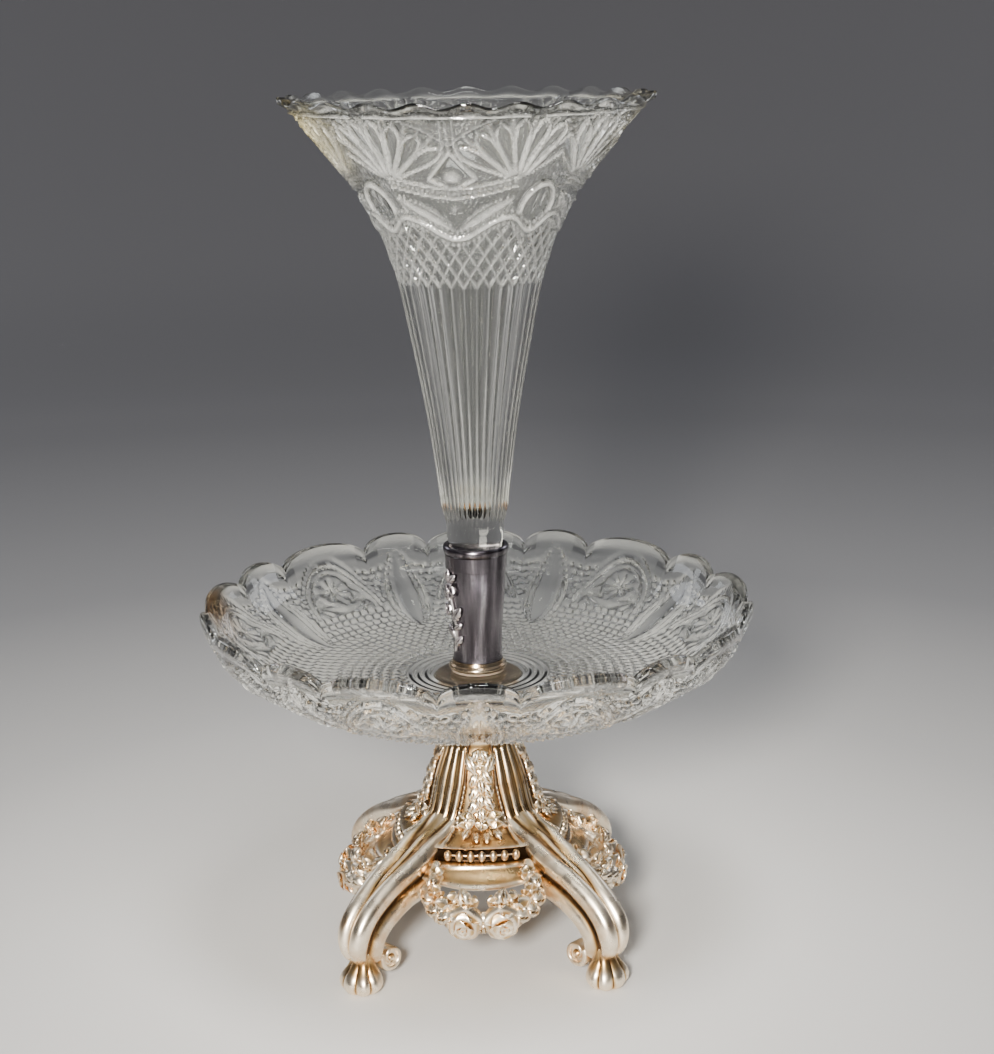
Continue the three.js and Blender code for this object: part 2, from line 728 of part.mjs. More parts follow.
// Rolled lip that stands on the tube's upper end
function sleeveLip() {
  const bore = sleeveTopRadius - sleeveWall - seatGap;
  const h = sleeveLipHeight;
  const r = sleeveLipRadius;
  const round = [[r - 1, 0], [r - 0.3, h * 0.25], [r, h * 0.55], [r - 0.4, h * 0.85], [r - 1.2, h]];
  return ringOf([[bore, 0], ...round, [bore, h]], turnedFacets);
}

// Foot ring and screwed plug, turned in one piece
function sleeveFoot() {
  const h = sleeveFootHeight;
  const r = sleeveFootRadius;
  const spigot = sleeveWaistRadius - sleeveWall - seatGap;
  const bore = rodRadius + threadGap;
  const profile = [
    [bore, 0], [r - 0.6, 0], [r, h * 0.3], [r - 0.5, h * 0.55], [sleeveWaistRadius + 0.4, h],
    [spigot, h], [spigot, plugHeight], [0, plugHeight], [0, threadEngagement + seatGap],
    [bore, threadEngagement + seatGap], [bore, 0],
  ];
  return revolve(profile, turnedFacets);
}

// Cast flower spray soldered on the left of the sleeve
function flowerSpray() {
  const bottom = sleeveTubeZ + 5;
  const tubeRadius = (z) => {
    const t = (z - sleeveTubeZ) / (sleeveTubeTopZ - sleeveTubeZ);
    return mix(sleeveWaistRadius, sleeveTopRadius, ramp(t, 0.17, 1));
  };
  const pieces = [];
  const stem = [];
  for (let i = 0; i <= 5; i += 1) {
    const z = bottom + (i / 5) * sprayHeight;
    const r = tubeRadius(z);
    const sway = 1.6 * Math.sin((i / 5) * Math.PI * 1.6);
    stem.push([
      pairAt([r - 1, z], sway - 1.2), pairAt([r - 1, z], sway + 1.2),
      pairAt([r + 1.3, z], sway + 0.9), pairAt([r + 1.3, z], sway - 0.9),
    ]);
  }
  pieces.push(loft(stem));
  const put = (piece, side, rise) => {
    const z = bottom + rise * sprayHeight;
    pieces.push(piece.translate(0, -tubeRadius(z) - 0.9, z).rotateZ(side / tubeRadius(z)));
  };
  put(blossom(8, 5), 0.6, 0.8);
  put(blossom(6.4, 5), -2.6, 0.56);
  put(leaf(10, 4.4, 2).rotateY(0.5), 2.8, 0.5);
  put(leaf(9, 4, 2).rotateY(-0.6), -0.9, 0.26);
  put(leaf(8, 3.6, 2).rotateY(0.6), 2.6, 0.14);
  put(leaf(7, 3.6, 2), -1.3, 1.02);
  const tube = revolve([
    [0, sleeveTubeZ], [sleeveWaistRadius + seatGap, sleeveTubeZ],
    [sleeveWaistRadius + seatGap, mix(sleeveTubeZ, sleeveTubeTopZ, 0.17)],
    [mix(sleeveWaistRadius, sleeveTopRadius, 0.4) + seatGap, mix(sleeveTubeZ, sleeveTubeTopZ, 0.56)],
    [mix(sleeveWaistRadius, sleeveTopRadius, 0.77) + seatGap, mix(sleeveTubeZ, sleeveTubeTopZ, 0.87)],
    [sleeveTopRadius + seatGap, sleeveTubeTopZ], [0, sleeveTubeTopZ],
  ], turnedFacets);
  const turned = fromSolid(joinAll(pieces)).rotateZ(sprayAngle * degrees);
  return fromSolid(toSolid(turned).subtract(toSolid(tube)));
}

// Trumpet vase: solid peg and polished band, flutes, a band of crossed cuts, then the plain flare

function trumpetVase() {
  const foot = -pegLength;
  const peg = [[0, foot], [pegEndRadius - 1, foot], [pegEndRadius, foot + 1], [pegTopRadius, 0]];
  const fluted = curveThrough([
    [polishedBandRadius + 0.2, polishedBandHeight + 0.6],
    [mix(polishedBandRadius, fluteTopRadius, 0.37), mix(polishedBandHeight, polishedBandHeight + fluteHeight, 0.46)],
    [fluteTopRadius, polishedBandHeight + fluteHeight],
  ], 2);
  const lattice = [0.25, 0.55].map((t) => [
    mix(fluteTopRadius, throatRadius, t * 0.8), mix(polishedBandHeight + fluteHeight, throatHeight, t),
  ]);
  const flare = curveThrough([
    [throatRadius, throatHeight],
    [mix(throatRadius, vaseRimRadius, 0.33), mix(throatHeight, vaseHeight, 0.42)],
    [mix(throatRadius, vaseRimRadius, 0.76), mix(throatHeight, vaseHeight, 0.84)],
    [vaseRimRadius, vaseHeight],
  ], 3);
  const outer = [[polishedBandRadius, polishedBandHeight], ...fluted, ...lattice, ...flare];
  const hollow = setInwards(outer, vaseGlass).filter(([, z], i) => z > vaseBottomGlass + 4 && i % 2 === 0).reverse();
  hollow[0] = [vaseRimRadius - vaseGlass * 0.7, vaseHeight - 0.6];
  const profile = [...peg, ...outer, ...hollow, [hollow[hollow.length - 1][0] * 0.55, vaseBottomGlass + 1.5], [0, vaseBottomGlass]];
  const fluteTop = polishedBandHeight + fluteHeight;
  return sculpt(revolve(profile, vaseFacets), (point, radius, angle) => {
    const isOuter = outer.some(([r, z]) => Math.abs(r - radius) < 0.01 && Math.abs(z - point.z) < 0.01);
    const wave = Math.cos(fluteCount * angle);
    let r = radius;
    if (isOuter && point.z > polishedBandHeight + 0.3 && point.z <= fluteTop + 0.01) r += fluteDepth * wave;
    lattice.forEach(([lr, lz], row) => {
      if (isOuter && Math.abs(point.z - lz) < 0.01) r += latticeDepth * wave * (row % 2 === 0 ? -1 : 1);
    });
    const edge = ramp(point.z, vaseHeight - 6, vaseHeight - 0.6);
    const dip = (1 - Math.cos(vaseScallops * angle)) / 2;
    point.z -= edge * vaseScallopDepth * dip;
    setRadius(point, r - edge * dip, angle);
  });
}

// Assembly

const centerpiece = new THREE.Group();

function add(name, geometry, material, z = 0) {
  const mesh = new THREE.Mesh(weld(geometry), material);
  mesh.name = name;
  mesh.position.z = z;
  centerpiece.add(mesh);
  return mesh;
}

const faces = [['front', 0], ['right', 90], ['back', 180], ['left', 270]];
const corners = [['front_left', -45], ['front_right', 45], ['back_right', 135], ['back_left', 225]];

add('column_casting', columnCasting(), wornPlate());

corners.forEach(([where, angle]) => add(`leg_${where}`, leg(angle), wornPlate()));

for (const [where, angle] of faces) {
  add(`drop_garland_${where}`, dropGarland().rotateZ(angle * degrees), wornPlate());
  add(`bead_wire_${where}`, beadWire().rotateZ(angle * degrees), wornPlate());
  add(`rose_swag_${where}`, swag(angle), wornPlate());
}

add('seat_collar', seatCollar(), turnedPlate(), collarBottomZ);
add('lower_washer', washer(lowerWasherRadius, rodRadius + threadGap, washerThickness, turnedFacets), cork(), lowerWasherZ);
add('glass_bowl', glassBowl(), clearGlass(), bowlZ);
add('upper_washer', washer(upperWasherRadius, rodRadius + threadGap, washerThickness, turnedFacets), cork(), upperWasherZ);
add('tie_rod', disc(rodRadius, rodTopZ - rodBottomZ, smallFacets), steel(), rodBottomZ);
add('bridge_washer', washer(bridgeRadius, rodRadius + threadGap, bridgeThickness, smallFacets), brass(), bridgeZ);
add('rod_nut', hexNut(), brass(), nutZ);
add('sleeve_foot', sleeveFoot(), turnedPlate(), sleeveFootZ);
add('sleeve_tube', sleeveTube(), tarnishedPlate(), sleeveTubeZ);
add('sleeve_lip', sleeveLip(), turnedPlate(), sleeveLipZ);
add('flower_spray', flowerSpray(), tarnishedPlate());
add('peg_cork', disc(corkRadius, corkThickness, turnedFacets), cork(), corkZ);
add('trumpet_vase', trumpetVase(), clearGlass(), vaseZ);

export default centerpiece;
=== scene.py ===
# Table centerpiece: a pressed glass bowl and trumpet vase on a silver-plated stand with four scroll legs.
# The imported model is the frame. Glass and castings are remade here with their pressed and cast relief.
# Shapes are drawn in millimetres, +Z up, front towards -Y, and turned to metres as each piece is finished.

import math
from functools import partial

import bmesh
import bpy
import numpy as np
from mathutils import Matrix, Vector


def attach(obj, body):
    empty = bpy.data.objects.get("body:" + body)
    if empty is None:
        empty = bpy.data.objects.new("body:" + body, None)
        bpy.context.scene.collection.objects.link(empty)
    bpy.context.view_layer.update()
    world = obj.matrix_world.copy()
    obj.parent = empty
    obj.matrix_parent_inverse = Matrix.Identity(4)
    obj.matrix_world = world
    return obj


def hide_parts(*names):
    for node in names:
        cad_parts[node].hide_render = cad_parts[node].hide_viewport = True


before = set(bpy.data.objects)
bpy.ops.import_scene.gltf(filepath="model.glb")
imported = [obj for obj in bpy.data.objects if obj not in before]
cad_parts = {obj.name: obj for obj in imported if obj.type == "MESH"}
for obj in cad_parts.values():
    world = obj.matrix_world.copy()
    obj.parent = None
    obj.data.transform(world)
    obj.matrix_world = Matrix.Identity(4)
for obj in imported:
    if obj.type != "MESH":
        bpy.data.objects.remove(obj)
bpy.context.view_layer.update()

MM = 0.001
TAU = 2 * math.pi
FACES = {"front": 0, "right": 90, "back": 180, "left": 270}
CORNERS = {"front_left": -45, "front_right": 45, "back_right": 135, "back_left": 225}


# Small tools

def hex_colour(code):
    """sRGB hex to the linear colour that a shader socket takes."""
    parts = [int(code[i:i + 2], 16) / 255 for i in (1, 3, 5)]
    return tuple(c / 12.92 if c <= 0.04045 else ((c + 0.055) / 1.055) ** 2.4 for c in parts) + (1.0,)


def mix(start, end, share):
    return start + (end - start) * share


def ramp(value, start, end):
    return min(max((value - start) / (end - start), 0.0), 1.0)


def ease(value, start, end):
    share = ramp(value, start, end)
    return share * share * (3 - 2 * share)


def bump(distance, reach):
    """A smooth rise, 1 on the line and 0 from reach onwards."""
    share = distance / reach
    return (1 - share * share) ** 2 if abs(share) < 1 else 0.0


def wrapped(value, period):
    """The value brought to within half a period of zero."""
    return (value + period / 2) % period - period / 2


def polar(co):
    """Radius, and angle in degrees from the front towards +X."""
    return math.hypot(co.x, co.y), math.degrees(math.atan2(co.x, -co.y))


def widened(vert, factor, rise=0.0):
    """Moves a vertex away from the Z axis by a factor, and up by a rise."""
    vert.co = (vert.co.x * factor, vert.co.y * factor, vert.co.z + rise)


def length_of(points):
    return sum(math.dist(a, b) for a, b in zip(points, points[1:]))


def slope_at(profile, i):
    """The direction of a run of (radius, height) points at its point i."""
    before, after = profile[max(i - 1, 0)], profile[min(i + 1, len(profile) - 1)]
    return Vector((after[0] - before[0], after[1] - before[1])).normalized()


def inner_wall(outside, glass):
    """The inside of a wall: its outside moved inwards by glass(share of the run, height)."""
    inside = []
    for i, (r, z) in enumerate(outside):
        slope, depth = slope_at(outside, i), glass(i / len(outside), z)
        inside.append((r - slope.y * depth, z + slope.x * depth))
    return inside


def curve_points(points, per_span):
    """A smooth run of points through the given ones (Catmull-Rom)."""
    run = []
    last = len(points) - 1
    for i in range(last):
        p0, p1, p2, p3 = (np.array(points[min(max(k, 0), last)], float) for k in (i - 1, i, i + 1, i + 2))
        for k in range(per_span):
            t = k / per_span
            run.append(0.5 * (2 * p1 + (p2 - p0) * t + (2 * p0 - 5 * p1 + 4 * p2 - p3) * t * t
                              + (3 * p1 - p0 - 3 * p2 + p3) * t ** 3))
    run.append(np.array(points[-1], float))
    return [tuple(float(c) for c in p) for p in run]


def evenly(points, spacing):
    """The same run of points, set at an even spacing along it."""
    points = np.array(points, float)
    along = np.concatenate([[0], np.cumsum(np.linalg.norm(np.diff(points, axis=0), axis=1))])
    wanted = np.linspace(0, along[-1], max(int(round(along[-1] / spacing)), 1) + 1)
    return [tuple(float(np.interp(w, along, points[:, k])) for k in range(points.shape[1])) for w in wanted]


def ring(middle, across, out, count):
    """Points round the oval whose half axes are across and out."""
    return [middle + across * math.cos(a) + out * math.sin(a) for a in np.linspace(0, TAU, count + 1)[:-1]]


def spun(bm, profile, steps, shares=1):
    """Turns a profile of (radius, height) about the Z axis, by one of the equal shares of a turn. The layer
    'lie' keeps the profile's outward direction and run length."""
    lie = bm.verts.layers.float_vector.new("lie")
    verts = []
    run = 0.0
    for i, (r, z) in enumerate(profile):
        slope = slope_at(profile, i)
        run += math.dist(profile[i], profile[max(i - 1, 0)])
        verts.append(bm.verts.new((0, -r, z)))
        verts[-1][lie] = (slope.y, -slope.x, run)
    edges = [bm.edges.new(pair) for pair in zip(verts, verts[1:])]
    bmesh.ops.spin(bm, geom=verts + edges, cent=(0, 0, 0), axis=(0, 0, 1), angle=TAU / shares,
                   steps=steps // shares, use_merge=shares == 1, use_duplicate=False)
    if shares == 1:
        bmesh.ops.remove_doubles(bm, verts=bm.verts, dist=1e-4)
    return lie


def all_round(bm, shares):
    """Repeats a shaped share of a turn all the way round and closes its seams."""
    bmesh.ops.spin(bm, geom=bm.verts[:] + bm.edges[:] + bm.faces[:], cent=(0, 0, 0), axis=(0, 0, 1),
                   angle=TAU * (shares - 1) / shares, steps=shares - 1, use_duplicate=True)
    bmesh.ops.remove_doubles(bm, verts=bm.verts, dist=0.003)


def shape_skin(bm, lie, relief, crowns=None):
    """Moves each vertex along its profile's outward direction by relief(angle in degrees, radius, z, run).
    With crowns, a pair of heights, 'crown' keeps how high it stands: 0 up to the first, 1 from the second."""
    crown = bm.verts.layers.float.new("crown") if crowns else None
    for vert in bm.verts:
        radius, angle = polar(vert.co)
        if radius < 0.01:
            continue
        out, up, run = vert[lie]
        rise = relief(angle, radius, vert.co.z, run)
        if rise:
            widened(vert, (radius + out * rise) / radius, up * rise)
            if crowns:
                vert[crown] = ramp(rise, *crowns)


def lofted(bm, sections):
    """Draws a closed skin through equal rings of points, from the first ring extruded on to each next one."""
    place = bm.verts.layers.int.get("place") or bm.verts.layers.int.new("place")
    everything = bmesh.ops.create_circle(bm, segments=len(sections[0]), radius=1)["verts"]
    for i, vert in enumerate(everything):
        vert[place] = i
        vert.co = sections[0][i]
    first = edges = list(dict.fromkeys(e for v in everything for e in v.link_edges))
    for section in sections[1:]:
        made = bmesh.ops.extrude_edge_only(bm, edges=edges)["geom"]
        verts = [g for g in made if isinstance(g, bmesh.types.BMVert)]
        own = set(verts)
        edges = [g for g in made if isinstance(g, bmesh.types.BMEdge) and own.issuperset(g.verts)]
        for vert in verts:
            vert.co = section[vert[place]]
        everything += verts
    bmesh.ops.contextual_create(bm, geom=first)
    bmesh.ops.contextual_create(bm, geom=edges)
    return everything


def placed(x, y, z, turn=0.0, lean=0.0, roll=0.0):
    """A place for an ornament that faces -Y: rolled about its face, leant back, turned about Z and moved."""
    return (Matrix.Translation((x, y, z)) @ Matrix.Rotation(turn, 4, "Z") @ Matrix.Rotation(lean, 4, "X")
            @ Matrix.Rotation(roll, 4, "Y"))


def mark_hollows(mesh, passes, depth):
    """Keeps in 'hollow' how deep each point lies: 0.5 on the level, 1 in a groove and 0 on a crown."""
    count = len(mesh.vertices)
    place, normal, edges = np.empty(count * 3), np.empty(count * 3), np.empty(len(mesh.edges) * 2, int)
    mesh.vertices.foreach_get("co", place)
    mesh.vertices.foreach_get("normal", normal)
    mesh.edges.foreach_get("vertices", edges)
    place, normal, edges = place.reshape(-1, 3), normal.reshape(-1, 3), edges.reshape(-1, 2)
    share = np.bincount(edges.ravel(), minlength=count)[:, None].clip(1)
    soft = place.copy()
    for _ in range(passes):
        total = [np.bincount(edges[:, 0], soft[edges[:, 1], k], count)
                 + np.bincount(edges[:, 1], soft[edges[:, 0], k], count) for k in range(3)]
        soft = 0.5 * soft + 0.5 * np.stack(total, 1) / share
    sunk = ((soft - place) * normal).sum(1) / (depth * MM)
    mesh.attributes.new("hollow", "FLOAT", "POINT").data.foreach_set("value", (0.5 + 0.5 * sunk).clip(0, 1))


def as_object(bm, name, material):
    """Turns a shape into an object with smooth faces, and gives it its finish."""
    mesh = bpy.data.meshes.new(name)
    bm.to_mesh(mesh)
    bm.free()
    mesh.polygons.foreach_set("use_smooth", [True] * len(mesh.polygons))
    mesh.materials.append(material)
    made = bpy.data.objects.new(name, mesh)
    bpy.context.scene.collection.objects.link(made)
    return made


def finished(bm, name, material, body, nodes, crease=40, hollow=None):
    """Turns a piece's faces outwards and its size to metres, names it, and ties it to the frame."""
    bmesh.ops.recalc_face_normals(bm, faces=bm.faces)
    bmesh.ops.scale(bm, vec=(MM, MM, MM), verts=bm.verts)
    piece = as_object(bm, name, material)
    piece.data.set_sharp_from_angle(angle=math.radians(crease))
    if hollow:
        mark_hollows(piece.data, *hollow)
    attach(piece, body)
    if nodes:
        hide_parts(*nodes)
    return piece


# Materials

def fill(node, settings):
    """Sets a node's sockets, properties or colour stops, and links the sockets that are given an output."""
    for key, value in settings.items():
        if key == "stops":
            elements = node.color_ramp.elements
            while len(elements) < len(value):
                elements.new(0.5)
            for element, (position, code) in zip(elements, value):
                element.position, element.color = position, hex_colour(code)
        elif isinstance(value, bpy.types.NodeSocket):
            node.id_data.links.new(value, node.inputs[key])
        elif isinstance(key, int) or key in node.inputs:
            node.inputs[key].default_value = value
        else:
            setattr(node, key, value)


def add_node(tree, kind, settings, output=0):
    """Adds a node with its settings and links, and gives back one of its outputs."""
    node = tree.nodes.new("ShaderNode" + kind)
    fill(node, settings)
    return node.outputs[output]


def new_material(name):
    """A material, add_node for its tree, and the piece's own coordinates."""
    material = bpy.data.materials.new(name)
    material.use_nodes = True
    add = partial(add_node, material.node_tree)
    return material, add, add("TexCoord", {}, "Object")


def shaded(material, settings):
    fill(material.node_tree.nodes["Principled BSDF"], settings)
    return material


def per_mm(size):
    """Noise scale whose features are about size mm across."""
    return 1 / (size * MM)


def worn_silver_plate(name, crown, level, groove, pit, brassy_share):
    """Electroplated silver on cast base metal, with brassy orange patches where the plate has gone. Its
    colour
    follows how deep a point lies: pale champagne on the crowns, partly worn bright and partly painted
    highlight, and brown in the hollows to near black in the deepest grooves, partly tarnish and partly
    painted shade."""
    material, add, where = new_material(name)
    sunk = add("Attribute", {"attribute_name": "hollow"}, "Fac")
    cloud = add("TexNoise", {"Scale": per_mm(7), "Detail": 4, "Vector": where})
    drift = add("Math", {"operation": "MULTIPLY_ADD", 0: cloud, 1: 0.22, 2: -0.11})
    depth = add("Math", {"operation": "ADD", 0: sunk, 1: drift})
    # Colour by depth: pale on crowns as partly painted highlight, darker into grooves and pits as partly
    # tarnish and partly painted shade.
    stops = [(0.3, crown), (0.5, level), (0.66, groove), (0.92, pit)]
    tarnish_and_painted_shade = add("ValToRGB", {"stops": stops, "Fac": depth})
    patches = add("TexNoise", {"Scale": per_mm(15), "Detail": 3, "Vector": where})
    worn = add("MapRange", {"From Min": 0.52, "From Max": 0.68, "To Max": brassy_share, "Value": patches})
    open_to_wear = add("MapRange", {"From Min": 0.85, "From Max": 0.6, "Value": depth})
    share = add("Math", {"operation": "MULTIPLY", 0: worn, 1: open_to_wear})
    colour = add("Mix", {"data_type": "RGBA", 0: share, 6: tarnish_and_painted_shade, 7: hex_colour("#cf9f62")}, 2)
    dull = add("MapRange", {"Value": cloud, "From Min": 0.35, "From Max": 0.7, "To Min": 0.24,
                            "To Max": 0.38})
    return shaded(material, {"Metallic": 1.0, "Base Color": colour, "Roughness": dull})


def turned_silver_plate():
    """Silver plate on a turned ring: bright and smooth, with a warm brown cast in places."""
    material, add, where = new_material("turned silver plate")
    film = add("TexNoise", {"Scale": per_mm(9), "Detail": 3, "Vector": where})
    colour = add("ValToRGB", {"stops": [(0.35, "#dccdb6"), (0.62, "#a98f70")], "Fac": film})
    return shaded(material, {"Metallic": 1.0, "Roughness": 0.2, "Base Color": colour})


def tarnished_silver_plate():
    """Silver plate left to tarnish: a smooth dark plum-grey film, with paler stripes down the tube that are
    painted highlights.
    """
    material, add, where = new_material("tarnished silver plate")
    # Paler stripes stretched down the tube: painted highlights on the tarnished film.
    stretched = add("Mapping", {"Scale": (1.0, 1.0, 0.08), "Vector": where})
    painted_highlight_streaks = add("TexNoise", {"Scale": per_mm(4), "Detail": 3, "Vector": stretched})
    stops = [(0.32, "#4b464b"), (0.52, "#716b72"), (0.7, "#aaa5aa")]
    colour = add("ValToRGB", {"stops": stops, "Fac": painted_highlight_streaks})
    return shaded(material, {"Metallic": 1.0, "Roughness": 0.24, "Base Color": colour})


def pressed_glass(name, stain_colour):
    """Pressed soda glass: clear and fire-polished with a faint straw tint. The crowns of its pattern are worn
    satin, and made partly opaque white as a painted highlight that shows them as whitish lines, and 'stain'
    lays an amber bloom."""
    material, add, where = new_material(name)
    amount = add("Attribute", {"attribute_name": "stain"}, "Fac")
    tints = {6: hex_colour("#f6f7f2"), 7: hex_colour(stain_colour)}
    colour = add("Mix", {"data_type": "RGBA", 0: amount, **tints}, 2)
    crown = add("Attribute", {"attribute_name": "crown"}, "Fac")
    scuffs = add("TexNoise", {"Scale": per_mm(3), "Detail": 3, "Vector": where})
    uneven = add("MapRange", {"Value": scuffs, "From Min": 0.3, "From Max": 0.7, "To Min": 0.7,
                              "To Max": 1.3})
    # On the crowns, satin wear raises the roughness, and lower transmission makes them whitish as a painted
    # highlight.
    wear_and_painted_highlight = add("Math", {"operation": "MULTIPLY", "use_clamp": True, 0: crown, 1: uneven})
    satin = add("MapRange", {"To Min": 0.02, "To Max": 0.13, "Value": wear_and_painted_highlight})
    clear = add("MapRange", {"To Min": 1.0, "To Max": 0.66, "Value": wear_and_painted_highlight})
    return shaded(material, {"IOR": 1.52, "Base Color": colour, "Roughness": satin,
                             "Transmission Weight": clear})


def plain_finish(name, colour, metallic, roughness, grain_mm=2.0, depth=0.00005):
    """A plain finish with a fine uneven grain."""
    material, add, where = new_material(name)
    grain = add("TexNoise", {"Scale": per_mm(grain_mm), "Detail": 3, "Vector": where})
    speckle = {0: 0.35, 6: hex_colour(colour), 7: grain.node.outputs["Color"]}
    shade = add("Mix", {"data_type": "RGBA", "blend_type": "OVERLAY", **speckle}, 2)
    pits = add("Bump", {"Strength": 0.5, "Distance": depth, "Height": grain})
    return shaded(material, {"Metallic": metallic, "Roughness": roughness, "Base Color": shade,
                             "Normal": pits})


# The groove and pit colours given here darken the hollows of the castings: partly tarnish, partly painted
# shade.
CAST = worn_silver_plate("worn silver plate", "#fff0d8", "#d8b681", "#7a5937", "#2c2015", 0.6)
SPRAY = worn_silver_plate("tarnished cast trim", "#d9d2d2", "#8d858c", "#4a434a", "#2c282c", 0.0)
TURNED = turned_silver_plate()
TARNISHED = tarnished_silver_plate()
BOWL_GLASS = pressed_glass("pressed bowl glass", "#dda552")
VASE_GLASS = pressed_glass("pressed vase glass", "#e0cf86")
# Turned brass gone dull, a grey rolled rod, aged cork with a coarse matt grain, and a matt brown crust
BRASS = plain_finish("dull brass", "#b08d45", 1.0, 0.4)
STEEL = plain_finish("rolled steel rod", "#8b8985", 1.0, 0.42)
CORK = plain_finish("aged pressed cork", "#7f6f5e", 0.0, 0.9, grain_mm=1.2, depth=0.0003)
RESIDUE = plain_finish("dried water residue", "#b27c3c", 0.0, 0.6, grain_mm=1.5, depth=0.0002)


# Ornament shapes, each about the origin and facing -Y, one unit wide, high and long

leaf_teeth = 3


def leaf_shape(bm):
    """A pointed leaf up Z with a sunk midrib and side veins."""
    bmesh.ops.create_uvsphere(bm, u_segments=20, v_segments=14, radius=1)
    for vert in bm.verts:
        x, y, z = vert.co
        t = (z + 1) / 2
        edge = math.sin(math.pi * min(t * 0.94 + 0.03, 1.0)) ** 0.15
        across = x * edge * (1 + 0.14 * math.cos(leaf_teeth * TAU * t))
        vein = 0.28 * bump(across, 0.22) + 0.1 * math.cos((z * 2.2 + abs(across) * 1.6) * 6)
        vert.co = (across / 2, (y * (1 - vein) if y < 0 else y * 0.4) + 0.25 * z * z, z / 2)


def petal_shape(bm):
    """A broad cupped petal, its free edge rolled back."""
    bmesh.ops.create_uvsphere(bm, u_segments=14, v_segments=10, radius=1)
    for vert in bm.verts:
        x, y, z = vert.co
        cup = -0.75 * x * x - 0.35 * z * z + 1.3 * ease(z, 0.45, 1.0)
        width = 1 - 0.35 * ramp(-z, 0, 1)
        vert.co = (x * width / 2, y * 0.5 + cup, z / 2)


def ornament(name, shape):
    """A ready-made ornament, kept as a mesh that is copied into the castings."""
    bm = bmesh.new()
    shape(bm)
    mesh = bpy.data.meshes.new(name)
    bm.to_mesh(mesh)
    bm.free()
    return mesh


LEAF = ornament("leaf", leaf_shape)
PETAL = ornament("petal", petal_shape)
BUTTON = ornament("button", lambda bm: bmesh.ops.create_uvsphere(bm, u_segments=12, v_segments=8, radius=0.5))
BEAD = ornament("bead", lambda bm: bmesh.ops.create_uvsphere(bm, u_segments=20, v_segments=14, radius=0.5))


def add_ornament(bm, shape, size, place):
    """Adds a copy of an ornament, of a width, rise and length in mm, at a place."""
    mesh = shape.copy()
    mesh.transform(place @ Matrix.Diagonal((*size, 1)))
    bm.from_mesh(mesh)
    bpy.data.meshes.remove(mesh)


def add_whorl(bm, place, petals, start, size, reach, lift, tilt):
    """A ring of petals about a flower's middle, each tilted at its foot."""
    for i in range(petals):
        turn = Matrix.Rotation(start + TAU * i / petals, 4, "Y")
        petal = turn @ Matrix.Translation((0, -lift, reach)) @ Matrix.Rotation(tilt, 4, "X")
        add_ornament(bm, PETAL, size, place @ petal)


def add_blossom(bm, diameter, place, start=0.0):
    """An open flower: five petals round a raised button."""
    d = diameter
    add_whorl(bm, place, 5, start, (d * 0.52, d * 0.13, d * 0.5), d * 0.27, d * 0.1, -0.25)
    add_ornament(bm, BUTTON, (d * 0.3, d * 0.34, d * 0.3), place @ Matrix.Translation((0, -d * 0.14, 0)))


def add_rose(bm, diameter, place, start):
    """A full rose: open outer petals, two cupped whorls that lap inwards, and a heart with a dark eye."""
    d = diameter
    add_ornament(bm, BUTTON, (d * 0.8, d * 0.5, d * 0.8), place)
    # petals, turn, width, length, reach, lift, tilt
    for petals, turn, width, length, reach, lift, tilt in (
            (5, 0.0, 0.54, 0.44, 0.28, 0.12, -0.3), (4, 0.5, 0.44, 0.36, 0.19, 0.27, 0.3),
            (3, 0.2, 0.34, 0.28, 0.11, 0.36, 0.75), (3, 0.9, 0.17, 0.2, 0.05, 0.38, 1.15)):
        size = (d * width, d * 0.1, d * length)
        add_whorl(bm, place, petals, start + turn, size, d * reach, d * lift, tilt)


def set_round(bm, turns, name, node, crease, hollow):
    """Sets a finished copy of a casting at each side or corner of the stand."""
    for place, turn in turns.items():
        copy = bm.copy()
        matrix = Matrix.Rotation(math.radians(turn), 3, "Z")
        bmesh.ops.rotate(copy, verts=copy.verts, cent=(0, 0, 0), matrix=matrix)
        finished(copy, f"{name}_{place}", CAST, "stand", [f"{node}_{place}"], crease,
                 hollow)
    bm.free()


# Stand casting

bell_top, neck_radius, neck_z = 104.0, 16.2, 100.0
waist_radius, waist_z = 25.6, 71.0
bead_face_radius, bead_face_top, bead_face_bottom = 39.0, 59.5, 54.5
band_top_radius, band_top, band_bottom_radius, band_bottom = 41.5, 53.0, 51.0, 44.5
channel_depth = 0.8
casting_wall = 3.0
rod_bore = 5.05
reed_height = 1.5
ridge_foot, reed_foot, reed_top = 59.8, 62.3, 98.5
panel_edge = 19.0  # degrees from the middle of a face to the ridge beside its garland


def bell_profile():
    """The outer skin, from the foot of the band up to the bell's flat top."""
    low, high, face, top = band_bottom_radius, band_top_radius, bead_face_radius, bead_face_top
    band = curve_points([(low - 0.9, band_bottom), (low + 0.1, band_bottom + 0.9),
                         (low - 0.3, band_bottom + 2.2), (mix(low, high, 0.36), band_bottom + 3.6),
                         (mix(low, high, 0.66), band_top - 2.9), (high + 1.5, band_top - 1.3),
                         (high + 0.9, band_top - 0.2), (high - 0.6, band_top + 0.2)], 5)
    floor = face - channel_depth
    channel = [(face - 0.4, band_top + 0.8), (floor, bead_face_bottom), (floor, top - 0.2)]
    flare = curve_points([(face + 0.1, top + 0.4), (face - 0.7, top + 1.3),
                          (mix(waist_radius, face, 0.35), mix(waist_z, top, 0.6)), (waist_radius, waist_z),
                          (mix(waist_radius, neck_radius, 0.56), mix(waist_z, neck_z, 0.6)),
                          (neck_radius, neck_z), (neck_radius, bell_top - 0.4)], 8)
    return band + channel + flare + [(neck_radius - 0.4, bell_top)]


BELL = bell_profile()


